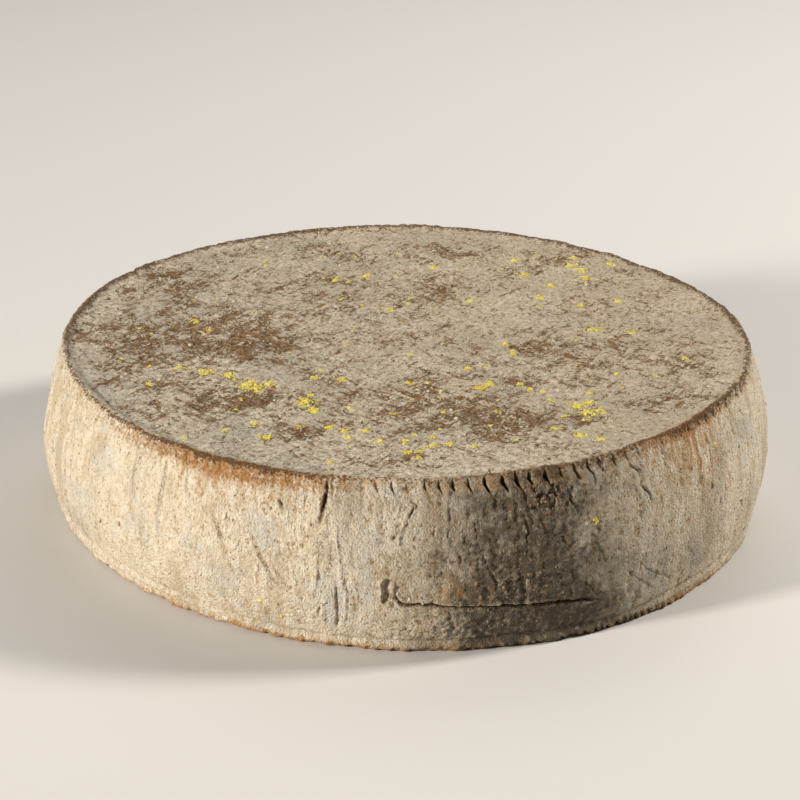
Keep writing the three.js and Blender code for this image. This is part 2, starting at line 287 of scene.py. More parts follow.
CUTS = (
    Crease(((-11.9, 76), (-12.1, 69), (-12.3, 63), (-12.7, 57)), 2.2, 2.0),
    Crease(((-10.8, 70), (-11.5, 66), (-11.9, 60)), 1.5, 1.1),
    Crease(((-11.6, 56), (-10.8, 47), (-11.1, 41), (-11.4, 34)), 1.5, 1.2),
    Crease(((-10.1, 33), (-9.9, 24), (-9.9, 18), (-9.9, 11)), 1.5, 1.2),
    Crease(((-12.5, 23), (-12.7, 18), (-13.2, 12)), 1.5, 1.1),
    Crease(
        ((-2, 30.8), (-1.2, 27), (-0.1, 24.6), (3, 24.4), (7.9, 23.2), (14.9, 21.4), (23, 19.4), (30, 16.2)),
        1.9, 3.0,
    ),
    Crease(((1.3, 66.2), (0.1, 61.2), (-0.3, 57.2), (-0.7, 51.2)), 1.4, 1.0),
    Crease(((2.3, 61.2), (1.9, 57.8), (1.6, 54.2)), 1.3, 0.8),
    Crease(((10.4, 46.4), (11.4, 40.2), (12.7, 33.2), (14.1, 27.4)), 1.6, 1.2),
    Crease(((-30.9, 57.2), (-29.3, 50.2), (-28, 44.2), (-27.3, 38), (-26.1, 31.2), (-24, 25)), 1.5, 1.1),
    Crease(((-23.6, 50), (-22.4, 44), (-21.3, 38.4), (-19.6, 31), (-17.8, 26)), 1.5, 1.1),
    Crease(((-19.4, 65), (-18.8, 62), (-18.1, 58.6)), 1.6, 1.3),
    Crease(((34.5, 69.8), (36.5, 65.2), (36.8, 59.8), (38, 54.6), (38.1, 49.2)), 1.2, 1.6),
    Crease(((32.5, 29.2), (35.7, 21), (39.6, 13.2)), 1.2, 0.7),
    Crease(((35, 30.2), (38.2, 22.4), (41, 17.8), (44.3, 13)), 1.2, 0.6),
    Crease(((-40.3, 68), (-40, 56.2), (-40.2, 45.2), (-40.4, 31.4)), 1.3, 0.7),
    Crease(((-47.1, 70.2), (-46.2, 61.2), (-45.8, 51.2), (-46.1, 43.2)), 1.3, 0.7),
    Crease(((55.8, 49.4), (56.8, 45.4), (57.8, 41)), 1.5, 1.0),
    Crease(((96, 71), (97.4, 60), (96.8, 48), (98.2, 35), (97.6, 24)), 1.7, 1.3),
    Crease(((131, 62), (134, 51), (138.5, 40), (141, 31)), 1.5, 1.0),
    Crease(((176, 69), (175.2, 57), (176.6, 44), (176, 30)), 1.5, 1.3),
    Crease(((198, 23), (206, 21.4), (216, 21.8), (226, 19.4)), 1.7, 1.8),
    Crease(((250, 60), (247, 50), (243.5, 39), (242, 28)), 1.5, 1.1),
)

FOLDS = (
    Crease(((-11.4, 73), (-11.4, 66), (-12, 60.2), (-12, 55)), 3.2, -1.2),
    Crease(((-10.4, 58), (-9.9, 49), (-9.5, 42), (-9.3, 35), (-8.6, 28), (-8.8, 20), (-9, 12)), 1.9, -1.2),
    Crease(((-11, 32), (-11.6, 28), (-11.9, 23), (-12.1, 17), (-12.1, 11)), 1.7, -1.0),
    Crease(((-12.6, 31), (-11.2, 26), (-12.8, 20), (-11.4, 14)), 1.5, -0.8),
    Crease(((-10.7, 28), (-11.3, 21), (-10.4, 13)), 1.4, -0.7),
    Crease(((-13.6, 60), (-13.1, 48), (-12.9, 36), (-13.6, 24), (-14, 12)), 1.6, -1.0),
    Crease(((-26.7, 40.2), (-25.5, 34.2), (-23.6, 27.2)), 2.0, -1.2),
    Crease(((-17, 40), (-16.2, 31), (-15.3, 22)), 2.0, -1.1),
    Crease(((14.9, 35.4), (13.7, 33.6), (13.1, 30.8), (14.2, 28), (15.5, 25)), 2.2, -1.0),
    Crease(((-1.8, 37.2), (-1.8, 32.8), (-2.1, 28.2), (-2.3, 24.6)), 2.2, -0.9),
    Crease(((0.7, 66.2), (-0.4, 60.2), (-1.1, 55.2), (-1.4, 48.2)), 2.0, -0.7),
    Crease(((4.6, 58), (4.4, 53), (4.6, 49)), 1.8, -0.7),
    Crease(((-47.9, 71), (-47.2, 61), (-46.8, 51), (-47.1, 43)), 1.8, -1.5),
    Crease(((-40.9, 70), (-40.7, 56), (-40.9, 45), (-41.2, 33)), 1.8, -1.5),
    Crease(((-36.4, 70), (-35.6, 60), (-35.2, 52)), 1.6, -1.1),
    Crease(((33.6, 70), (35.7, 65.4), (36.0, 60), (37.2, 54.6), (37.4, 49)), 4.6, -0.7),
    Crease(((-0.2, 26), (3, 25.7), (7.9, 24.5), (14.9, 22.8), (22, 21)), 1.8, -0.8),
    Crease(((-30.2, 52), (-28.7, 44), (-27.9, 38)), 1.7, -1.2),
    Crease(((-20.6, 40), (-18.8, 32), (-17.2, 27)), 1.7, -1.2),
    Crease(((-7.6, 36), (-7.2, 26), (-7.4, 15)), 1.7, -0.6),
    Crease(((95.2, 70), (96.4, 60), (95.9, 48), (97.2, 36)), 2.2, -0.8),
    Crease(((174.8, 68), (174, 57), (175.3, 44), (174.9, 31)), 2.8, -1.1),
    Crease(((198, 24.6), (206, 22.9), (216, 23.3), (225, 21)), 1.8, -0.8),
)

NICKS = (
    Crease(((-1.2, 66.8), (-2.3, 60.6)), 1.3, 0.7),
    Crease(((4, 57.2), (3.7, 53.6)), 1.3, 0.7),
    Crease(((6.1, 56.2), (5.8, 53)), 1.3, 0.7),
    Crease(((-48.4, 63.2), (-48.1, 51)), 1.3, 0.6),
    Crease(((-37.1, 69.6), (-35.9, 52.8)), 1.3, 0.6),
    Crease(((-33.8, 54.4), (-33.5, 42.2)), 1.3, 0.6),
    Crease(((-21.3, 63.6), (-20.6, 60.6)), 1.4, 1.0),
    Crease(((-21, 16.4), (-20.5, 9.2)), 1.4, 0.8),
    Crease(((9.5, 60.8), (9.7, 54.8)), 1.4, 0.8),
    Crease(((23.9, 66.4), (24.6, 60.2), (25.9, 54.4)), 1.5, 0.9),
    Crease(((26.2, 26.8), (28.7, 18.6)), 1.4, 0.7),
    Crease(((16.6, 62), (17.4, 55), (17.2, 47)), 1.5, 0.9),
    Crease(((19.2, 58), (20.3, 49), (20, 41)), 1.5, 0.9),
    Crease(((45.5, 66), (46.3, 58), (45.9, 51)), 1.4, 0.7),
    Crease(((52, 68), (52.8, 60), (52.6, 52)), 1.4, 0.7),
    Crease(((13.2, 68), (14.4, 62), (14.3, 57)), 1.4, 0.9),
    Crease(((22.5, 50), (23.4, 43), (23, 36)), 1.5, 0.8),
    Crease(((27, 48), (28.6, 40), (29.4, 33)), 1.4, 0.7),
    Crease(((7.2, 50), (7.6, 45), (7.4, 41)), 1.4, 0.7),
    Crease(((-16.4, 52), (-15.8, 45)), 1.4, 0.7),
    Crease(((-44, 30), (-42.6, 22)), 1.3, 0.6),
    Crease(((60.4, 34), (62, 26), (62.4, 19)), 1.5, 0.8),
    Crease(((-6.6, 58), (-6.1, 50)), 1.3, 0.6),
    Crease(((-14.9, 68), (-15.3, 61)), 1.3, 0.7),
    Crease(((112, 66), (113, 57)), 1.4, 0.8),
    Crease(((151, 60), (152.4, 50), (152, 43)), 1.5, 0.8),
    Crease(((191, 66), (192.2, 57)), 1.4, 0.8),
    Crease(((231, 50), (230, 41), (230.8, 34)), 1.5, 0.8),
    Crease(((271, 62), (270, 53)), 1.4, 0.7),
)


@dataclass(frozen=True)
class Pleats:
    """The cloth pleats that cut into the rim, numbered round the wheel from the front."""

    count: int = 156
    stray: float = 0.3
    width: float = 2.6
    depth: float = 2.2
    run: float = 3.0
    slant: float = 0.55
    # Middle and spread in degrees and strength of each group of pleats
    groups: tuple = (
        (15, 16, 1.0), (-41, 12, 0.42), (63, 14, 0.5), (128, 20, 0.75), (-118, 22, 0.6), (184, 14, 0.8),
    )
    faint: float = 0.12

    def pitch(self) -> float:
        """Degrees from one pleat to the next."""
        return 360.0 / self.count

    def angle(self, k: Array) -> Array:
        """The angle of pleat k, which strays a little from its even place."""
        k = np.asarray(k)
        return (k + self.stray * (share(k % self.count, 4) - 0.5)) * self.pitch()

    def strength(self, k: Array) -> Array:
        """How strongly pleat k marked the rim: the strongest group's bell curve, varied by pleat."""
        k = np.asarray(k) % self.count
        marked = [s * facing(self.angle(k), at, spread) for at, spread, s in self.groups]
        return (self.faint + np.max(marked, axis=0)) * (0.62 + 0.6 * share(k, 1))

    def reach(self, k: Array) -> Array:
        """How far pleat k runs down the side, in mm."""
        k = np.asarray(k) % self.count
        return self.run * (0.45 + 0.9 * share(k, 2)) * (0.5 + 0.5 * self.strength(k))

    def lean(self, down: Array) -> Array:
        """Degrees that a pleat has leaned to the right at a distance down from the rim."""
        return self.slant * np.clip(down, 0.0, 2.2 * self.run) / self.run


class Bed(Enum):
    """Which face of the wheel small grains lie on."""

    TOP = "top"
    SIDE = "side"


@dataclass
class RindRelief:
    """Height fields of the rind and the masks that its colours follow."""

    form: WheelForm = field(default_factory=WheelForm)
    pleats: Pleats = field(default_factory=Pleats)
    side_radius: float = 157.0
    flange_low: float = 4.3
    flange_rise: float = 3.4
    flange_fall_behind: float = 1.2
    twist_pitch: float = 3.7
    tooth_pitch: float = 4.1
    # Angle, height, half-width, half-height and depth of each pit, and how dark its inside is painted, partly
    # as shade
    pits: tuple = (
        (-2.9, 30.6, 2.1, 5.2, 1.9, 0.42), (-1.8, 53.2, 1.0, 1.7, 1.8, 1.0),
        (43.8, 48.0, 0.9, 3.0, 0.7, 0.45), (48.8, 52.0, 1.1, 3.6, 0.7, 0.45),
        (53.6, 39.0, 1.1, 2.8, 0.7, 0.4), (60.8, 61.0, 1.0, 3.4, 0.7, 0.45),
        (-58.5, 41.0, 0.8, 1.6, 0.6, 0.5), (112.0, 44.0, 1.2, 4.0, 0.9, 0.5),
        (148.0, 57.0, 1.0, 3.2, 0.8, 0.5), (205.0, 50.0, 2.0, 5.0, 2.0, 0.6),
        (262.0, 38.0, 1.0, 3.0, 0.8, 0.5), (238.0, 61.0, 0.9, 2.8, 0.8, 0.5),
    )
    # Angle, height, spread in degrees, spread in mm and height of each crumbly place
    crumbly: tuple = ((21.0, 66.0, 3.4, 6.5, 2.3), (8.0, 13.0, 9.0, 8.0, 1.1), (17.0, 31.0, 4.0, 7.0, 1.1))
    # First and last angle and lowest height of the smooth band above the foot
    smooth_band: tuple = (6.0, 31.0, 2.5)

    def flange_top(self, angle: Array) -> Array:
        """Height of the flange's upper edge: worn low at the front, high at the sides."""
        away = np.abs(around(angle, 10.0))
        rise = self.flange_rise * smoothstep(22.0, 48.0, away)
        return self.flange_low + rise - self.flange_fall_behind * smoothstep(70.0, 120.0, away)

    def flange(self, angle: Array, z: Array, p: Array) -> tuple[Array, Array]:
        """How far the flange stands out: a ragged lip, a channel, a thin ridge and a groove above.

        On the right the lip is twisted like a cord, a slanting wave; on the left it has blunt teeth, a
        wave that leans the other way. Each band is a bell curve of the height.

        Args:
            angle: degrees from the front.
            z: heights.
            p: the same places as x, y, z.

        Returns:
            mm out of the rind, and how deep in a notch of the lip each place is.
        """
        top = self.flange_top(angle)
        arc = np.radians(angle) * self.side_radius + 3.4 * Noise(91).layers(p, 9.0, 2)
        right = np.maximum(facing(angle, 34.0, 14.0), facing(angle, 160.0, 30.0))
        right = right * np.clip(0.8 + 0.9 * Noise(95).at(p, 10.0), 0.15, 1.0)
        twist = np.abs(np.sin(np.pi * (arc + 0.9 * z) / self.twist_pitch)) ** 0.6
        teeth = np.abs(np.sin(np.pi * (arc - 0.6 * z) / self.tooth_pitch)) ** 0.5 - 0.62
        ragged = 0.9 * Noise(93).layers(p, 4.0, 2)
        lip = 1.0 + right * (3.4 * twist - 2.0) + (1.0 - right) * (0.6 * teeth + ragged)
        edge = 0.75 * bump(z, top - 0.9, 0.8) - 0.7 * bump(z, top + 1.2, 1.2)
        on_lip = bump(z, 1.8, 1.7)
        between = right * (1.0 - smoothstep(0.2, 0.6, twist))
        worn = 0.5 * (1.0 - right) * smoothstep(0.1, 0.6, -ragged)
        notch = on_lip * (between + worn)
        return lip * on_lip + edge * smoothstep(0.0, 2.0, z) * (1.0 + 0.5 * ragged), notch

    def rind_points(self, angle: Array, z: Array) -> Array:
        """Places on the round side as x, y, z, for noise that closes round the wheel."""
        return wheel_points(angle, self.side_radius, z)

    def carve(self, angle: Array, z: Array, creases: tuple[Crease, ...]) -> tuple[Array, Array]:
        """Adds up how creases press into the side or stand proud of it.

        Across a crease the cut is a rounded V with a low lip on each shoulder; along it, the cut
        thins to both ends. Places are nudged by noise first, so that no line is ruled.

        Args:
            angle: degrees from the front, a whole grid.
            z: heights of the same grid.
            creases: the cuts or folds.

        Returns:
            The height in mm, negative in a cut, and how deep in a crease each place is, 0 to 1.
        """
        points = self.rind_points(angle, z)
        nudge_x = 0.5 * Noise(31).layers(points, 6.0, 2) + 0.4 * Noise(32).at(points, 1.9)
        nudge_z = 0.5 * Noise(37).layers(points, 7.0, 2) + 0.4 * Noise(38).at(points, 1.9)
        uneven = 1.0 + 0.5 * Noise(41).at(points, 4.0)
        height = np.zeros_like(z)
        inside = np.zeros_like(z)
        for crease in creases:
            line = crease.line(self.side_radius)
            middle = np.radians(crease.middle()) * self.side_radius
            across = np.radians(around(angle, crease.middle())) * self.side_radius + middle + nudge_x
            up = z + nudge_z
            low, high = line.min(axis=0) - 4.0, line.max(axis=0) + 4.0
            near = (across > low[0]) & (across < high[0]) & (up > low[1]) & (up < high[1])
            gap, along = distance_to_line(np.stack([across[near], up[near]], axis=-1), line)
            full = (0.12 + 0.88 * np.sin(np.pi * along) ** 0.6) * uneven[near]
            t = gap / (0.5 * crease.width)
            if crease.depth > 0:
                lip = 0.25 * min(1.0, 1.4 / crease.depth)
                profile = lip * bump(t, 1.35, 0.45) - np.clip(1.0 - t, 0.0, 1.0) ** 1.1
            else:
                profile = -np.clip(1.0 - t, 0.0, 1.0) ** 1.4
            height[near] += profile * crease.depth * full
            # How dark the crease is painted: painted shade deep inside, partly the rind's brown.
            deep = min(1.6, 0.28 * crease.depth ** 2)
            marked = np.clip(1.7 * (1.0 - t), 0.0, 1.0) * np.clip(deep * full, 0.0, 1.0)
            inside[near] = np.maximum(inside[near], marked)
        return height, np.clip(inside, 0.0, 1.0)

    def cells_near(self, angle: Array, z: Array, spacing: float) -> Iterator[tuple[Array, Array, Array]]:
        """The nine cells round each place, of a square grid on the side that closes round the wheel.

        Args:
            angle: degrees from the front.
            z: heights.
            spacing: cell size in mm.

        Yields:
            How far each place is across and up from the cell's corner, in cells, and the cell's number.
        """
        cells = round(2.0 * math.pi * self.side_radius / spacing)
        turn = (angle % 360.0) / 360.0 * cells
        up = z / spacing
        for du, dv in itertools.product((-1, 0, 1), repeat=2):
            column, row = np.floor(turn) + du, np.floor(up) + dv
            yield turn - column, up - row, (column % cells) * 131.0 + row

    def pinpricks(self, angle: Array, z: Array, spacing: float, radius: float, kept: float,
                  seed: int) -> Array:
        """Small round pits scattered over the side, one at most in each cell of a jittered grid.

        Args:
            angle: degrees from the front.
            z: heights.
            spacing: cell size in mm.
            radius: radius of the largest pits in mm.
            kept: share of the cells that have a pit.
            seed: picks another scatter.

        Returns:
            1 in the middle of a pit, falling as 1 - d^2 to 0 at its edge.
        """
        best = np.zeros_like(z)
        for across, up, k in self.cells_near(angle, z, spacing):
            at_x = 0.2 + 0.6 * share(k, seed)
            at_y = 0.2 + 0.6 * share(k, seed + 1)
            size = radius / spacing * (0.5 + 0.5 * share(k, seed + 2)) * (share(k, seed + 3) < kept)
            away = ((across - at_x) ** 2 + (up - at_y) ** 2) / np.maximum(size, 1e-3) ** 2
            best = np.maximum(best, np.clip(1.0 - away, 0.0, 1.0))
        return best

    def cobbles(self, angle: Array, z: Array, spacing: float, seed: int) -> Array:
        """Low domes with sharp valleys between them, that give the rind its crisp grain.

        The height is a constant minus the squared distance to the nearest of jittered points.

        Args:
            angle: degrees from the front.
            z: heights.
            spacing: cell size in mm.
            seed: picks another scatter.

        Returns:
            Values of about -0.5 to 0.3, one for each place.
        """
        nearest = np.full_like(z, 2.0)
        for across, up, k in self.cells_near(angle, z, spacing):
            away = (across - share(k, seed)) ** 2 + (up - share(k, seed + 1)) ** 2
            nearest = np.minimum(nearest, away)
        return 0.3 - np.minimum(nearest, 0.8)

    def sunk(self, angle: Array, z: Array, p: Array) -> tuple[Array, Array]:
        """The larger pits: steep ragged hollows with a thin raised lip.

        With d the distance in half-widths, a pit is as deep as 1 - d^2 to the power 0.9, and its lip
        is a bell curve just outside d = 1.

        Args:
            angle: degrees from the front.
            z: heights.
            p: the same places as x, y, z.

        Returns:
            The height in mm and how deep in a pit each place is.
        """
        ragged = 0.6 * Noise(33).layers(p, 4.0, 3)
        height, inside = np.zeros_like(z), np.zeros_like(z)
        for at, up, wide, tall, deep, dark in self.pits:
            arc = np.radians(around(angle, at)) * self.side_radius
            away = np.hypot(arc / wide, (z - up) / tall) + ragged
            hollow = np.clip(1.0 - away * away, 0.0, 1.0) ** 0.9
            height = height - deep * hollow + 0.3 * deep * bump(away, 1.2, 0.2)
            inside = np.maximum(inside, hollow * dark)
        return height, inside

    def pleat_field(self, line: Array, down: Array) -> tuple[Array, Array]:
        """The pleats' cuts and the rounded teeth between them, where mesh lines follow the pleats.

        A cut is 1 - t^2 across, widest at its mouth, and the tooth beside it is a low dome.

        Args:
            line: pleat number of each place, with fractions, a whole number in a cut's middle.
            down: mm down the side from the rim, negative inward over the rim.

        Returns:
            The height in mm and how deep in a cut each place is.
        """
        k = np.round(line)
        mm_away = np.abs(line - k) * np.radians(self.pleats.pitch()) * self.side_radius
        strength = np.minimum(self.pleats.strength(k), 1.2)
        part = down / (self.pleats.reach(k) * 1.2)
        full = strength * smoothstep(-2.2, 0.6, down) * (1.0 - smoothstep(0.5, 1.0, part))
        half = 0.5 * self.pleats.width * (0.65 + 0.6 * share(k % self.pleats.count, 5))
        half = half * (0.5 + 0.5 * strength)
        half = half * (1.1 - 0.55 * np.clip(part, 0.0, 1.0))
        cut = np.clip(1.0 - (mm_away / half) ** 2, 0.0, 1.0)
        tooth = 0.6 * strength * bump(down, 2.5, 5.5) * np.sin(np.pi * np.clip(mm_away / 6.3, 0.0, 0.5))
        return tooth - self.pleats.depth * full * cut, np.clip(1.3 * full * cut, 0.0, 1.0)

    def crumple(self, line: Array, down: Array, p: Array) -> Array:
        """Fine vertical ripples below the pleats: cosines and tall noise that fade as e^-d downwards."""
        wave = 0.5 * np.cos(2.0 * np.pi * line) + 0.5 * np.cos(4.0 * np.pi * line + 1.3)
        wave = wave * 0.6 + 1.5 * Noise(83).at(p, (2.4, 2.4, 13.0))
        marked = 0.35 + np.minimum(self.pleats.strength(np.round(line)), 1.0)
        return 0.26 * wave * marked * smoothstep(-1.0, 3.0, down) * np.exp(-np.clip(down, 0.0, None) / 13.0)

    def roughness_zones(self, angle: Array, z: Array) -> tuple[Array, Array]:
        """Where the side is rugged and where it is smooth.

        Args:
            angle: degrees from the front.
            z: heights.

        Returns:
            A factor on the wrinkles and grain, and the mask of the smooth band above the foot.
        """
        start, end, low = self.smooth_band
        top = 24.0 - 0.27 * np.clip(angle, -3.0, 30.0)
        band = smoothstep(start, start + 6.0, angle) * (1.0 - smoothstep(end - 5.0, end + 2.0, angle))
        band = band * smoothstep(low, low + 2.0, z) * (1.0 - smoothstep(top - 1.5, top - 0.2, z))
        front = facing(angle, 14.0, 22.0)
        calm = facing(angle, -42.0, 26.0)
        return (1.1 + 1.1 * front - 0.6 * calm) * (1.0 - 0.75 * band), band

    def side(self, angle: Array, z: Array, line: Array, down: Array) -> tuple[Array, dict[str, Array]]:
        """The relief of the side as mm out of the rind, with its colour masks.

        It adds up noise from coarse to fine, cobbles, cuts, folds, pits, pleats and the flange.

        Args:
            angle: degrees from the front.
            z: heights on the wheel of revolution.
            line: pleat number with fractions.
            down: mm down from the rim.

        Returns:
            The relief and the masks by name.
        """
        p = self.rind_points(angle, z)
        rugged, band = self.roughness_zones(angle, z)
        broad = 0.55 * Noise(3).layers(p, (24.0, 24.0, 30.0), 2)
        facets = 0.42 * Noise(5).layers(p, (9.0, 9.0, 20.0), 2)
        wrinkle = 0.2 * Noise(7).at(p, (2.8, 2.8, 13.0)) - 0.2 * np.abs(Noise(9).at(p, (3.6, 3.6, 8.0)))
        grain = 0.2 * Noise(11).layers(p, 3.6, 2) + 0.18 * (0.3 - np.abs(Noise(17).layers(p, 2.6, 2)))
        nudge = 0.9 * Noise(35).layers(p, 4.0, 2)
        turned = angle + np.degrees(nudge / self.side_radius)
        patchy = np.clip(0.6 + 0.9 * Noise(87).layers(p, 18.0, 2), 0.15, 1.2)
        cobbled = 0.26 * self.cobbles(turned, z + nudge, 2.9, 80)
        cobbled = cobbled + 0.44 * self.cobbles(turned, z - nudge, 1.7, 84)
        cuts, in_cut = self.carve(angle, z, CUTS + NICKS)
        folds, _ = self.carve(angle, z, FOLDS)
        holes, in_hole = self.sunk(angle, z, p)
        pits = self.pinpricks(angle, z, 9.0, 1.3, 0.2, 60)
        pits = np.maximum(pits, self.pinpricks(angle, z, 4.4, 0.7, 0.25, 70))
        pits = pits * np.clip(0.55 * rugged, 0.0, 1.0)
        crumbs = 0.0 * z
        rough = Noise(13).layers(p, 2.4, 2) + 0.8 * self.cobbles(turned, z, 2.2, 88)
        for at, up, wide, tall, high in self.crumbly:
            crumbs = crumbs + high * facing(angle, at, wide) * bump(z, up, tall) * rough
        pleated, in_pleat = self.pleat_field(line, down)
        body = smoothstep(3.0, 9.0, z)
        skin = (wrinkle + grain + cobbled * patchy) * rugged + crumbs
        height = (broad + facets) * body + skin * (0.45 + 0.55 * body) - 0.5 * band
        height = height + cuts + folds + holes + pleated + self.crumple(line, down, p)
        flange, notch = self.flange(angle, z, p)
        height = height - 0.45 * pits * body + flange
        masks = {
            # Cuts, pleats, pits and notches, painted dark as shade, partly the rind's brown.
            "crease": np.clip(np.maximum.reduce([in_cut, in_pleat, in_hole, 0.55 * pits, notch]), 0.0, 1.0),
            # Raised folds and grain, painted paler as highlight.
            "fold": np.clip(folds + 0.4 * (skin - 0.1), 0.0, 1.0),
            # Low places of the skin, painted browner as shade, partly also the rind's brown in its pits.
            "hollow": np.clip(0.36 - 1.6 * skin - 0.35 * facets, 0.0, 1.0),
            "stain": self.stain(angle, z, p),
            # Darker rind, with painted shade round the front right.
            "dark_rind_and_painted_shade": self.dark_rind_and_painted_shade(angle, z, p),
        }
        return height, masks

    def stain(self, angle: Array, z: Array, p: Array) -> Array:
        """Orange-brown staining: runs below the rim, along the foot and in a patch at the front.

        The runs fade as e^-d down from the rim, the patches are bell curves, and noise breaks them up.

        Args:
            angle: degrees from the front.
            z: heights.
            p: the same places as x, y, z.

        Returns:
            The strength of the stain, 0 to 1.
        """
        streak = 0.5 + 0.8 * Noise(19).layers(p, (3.0, 3.0, 34.0), 2)
        left = facing(angle, -28.0, 17.0)
        right = facing(angle, 47.0, 12.0)
        rest = 0.35 + 0.3 * Noise(21).at(p, 60.0)
        fall = self.form.height - z
        faded = np.exp(-fall / (3.0 + 8.0 * streak.clip(0, 1)))
        under_rim = (0.3 + 0.7 * np.maximum(left, 0.7 * right)) * faded
        drips = 0.95 * right * np.exp(-fall / 22.0) + 0.7 * left * np.exp(-fall / 18.0)
        runs = np.clip(streak - 0.35, 0.0, 1.0) * drips
        shaded = facing(angle, 25.0, 22.0)
        warmed = np.maximum(facing(angle, -12.0, 24.0), facing(angle, 44.0, 18.0))
        foot = (0.5 + 0.6 * warmed) * (1.0 - smoothstep(2.2, 5.0, z)) * (1.0 - 0.6 * shaded)
        front = 0.45 * facing(angle, 5.0, 7.0) * bump(z, 32.0, 9.0)
        front = front * (0.8 + Noise(25).layers(p, 9.0, 3))
        flush = 0.25 * facing(angle, 49.0, 8.0) * bump(z, 64.0, 14.0)
        flush = flush * (0.6 + streak.clip(0.0, 1.0))
        loose = 0.3 * smoothstep(0.25, 0.8, Noise(23).layers(p, 20.0, 3)) * rest
        mottled = smoothstep(0.0, 0.6, Noise(24).layers(p, (5.0, 5.0, 12.0), 3))
        loose = loose + 0.3 * facing(angle, 52.0, 18.0) * mottled
        return np.clip(under_rim + runs + foot + front + flush + loose, 0.0, 1.0)

    def dark_rind_and_painted_shade(self, angle: Array, z: Array, p: Array) -> Array:
        """Darker skin: painted shade round the front right, over greyer mould there, and the darker rind in
        the smooth band, in loose patches, low on the right flank and along the foot.

        It is a sum of bell curves of the angle, with a ragged border by noise.

        Args:
            angle: degrees from the front.
            z: heights.
            p: the same places as x, y, z.

        Returns:
            How dark the skin is, 0 to 1.
        """
        # Round the front right the darkening is painted shade, partly also greyer mould.
        zone = facing(angle, 18.0, 13.5)
        flank = 0.3 * facing(angle, 40.0, 16.0) * (1.0 - smoothstep(20.0, 50.0, z))
        _, band = self.roughness_zones(angle, z)
        loose = 0.35 * smoothstep(0.1, 0.9, Noise(27).layers(p, 34.0, 3))
        edge = 0.5 * Noise(29).layers(p, 14.0, 3)
        foot = 0.6 * facing(angle, 25.0, 20.0) * (1.0 - smoothstep(3.0, 5.5, z))
        front = 0.35 * facing(angle, 5.0, 8.0) * bump(z, 34.0, 14.0)
        return np.clip((zone + flank + front) * (1.0 + edge) + loose + 0.3 * band + foot, 0.0, 1.0)

    def top(self, x: Array, y: Array) -> tuple[Array, dict[str, Array]]:
        """The relief of the top as mm up, with its colour masks.

        It adds up felted noise, fine grain, noise drawn out along two crossing ways and cloth prints.

        Args:
            x: mm to the right.
            y: mm to the back.

        Returns:
            The relief and the masks by name.
        """
        p = np.stack([x, y, 0.0 * x], axis=-1)
        swept = np.stack([0.57 * x + 0.82 * y, 0.57 * y - 0.82 * x, 0.0 * x], axis=-1)
        crossed = np.stack([0.72 * x - 0.69 * y, 0.72 * y + 0.69 * x, 0.0 * x], axis=-1)
        brown = self.brown(x, y, p)
        felt = 0.32 * Noise(43).layers(p, 14.0, 3)
        grain = 0.38 * Noise(47).layers(p, 3.4, 2) + 0.55 * (0.3 - np.abs(Noise(49).layers(p, 2.6, 2)))
        side_mix = smoothstep(-0.3, 0.3, Noise(57).at(p, 45.0) + 0.004 * (x - y) - 0.2)
        weave = Noise(53).at(swept, (7.0, 1.7, 1.0)) * (1.0 - side_mix)
        weave = weave + Noise(54).at(crossed, (7.0, 1.7, 1.0)) * side_mix
        prints, on_print = self.cloth_prints(x, y, p)
        out = np.hypot(x, y) / self.form.rim_radius()
        calm = 1.0 - smoothstep(0.985, 1.0, out)
        skin = grain + 0.42 * weave
        height = (felt + skin * (1.0 + 0.6 * brown) - 0.35 * brown + prints) * (0.3 + 0.7 * calm)
        # The felt is warmer and a little lighter towards the right and the back, in a smooth gradient.
        warm = 0.38 + 0.36 * x / 150.0 + 0.15 * y / 150.0
        masks = {
            "crease": 0.0 * x,
            # Raised cloth prints and grain, painted paler as highlight.
            "fold": np.clip(on_print + 0.5 * (skin - 0.1), 0.0, 1.0),
            # Low places of the felt, painted browner as shade, partly also brown mould in them.
            "hollow": np.clip(0.42 - 1.5 * skin, 0.0, 1.0),
            "stain": np.clip(warm + 0.35 * Noise(59).layers(p, 40.0, 3), 0.0, 1.0),
            "dark_rind_and_painted_shade": brown,
        }
        return height, masks

    def brown(self, x: Array, y: Array, p: Array) -> Array:
        """How densely brown mould covers the top, with painted shade in one patch: soft patches by place,
        broken up by noise.

        Each patch is an oval bell curve, and a loose cover by noise adds the rest.

        Args:
            x: mm to the right.
            y: mm to the back.
            p: the same places as x, y, z.

        Returns:
            The density, 0 to 1.
        """
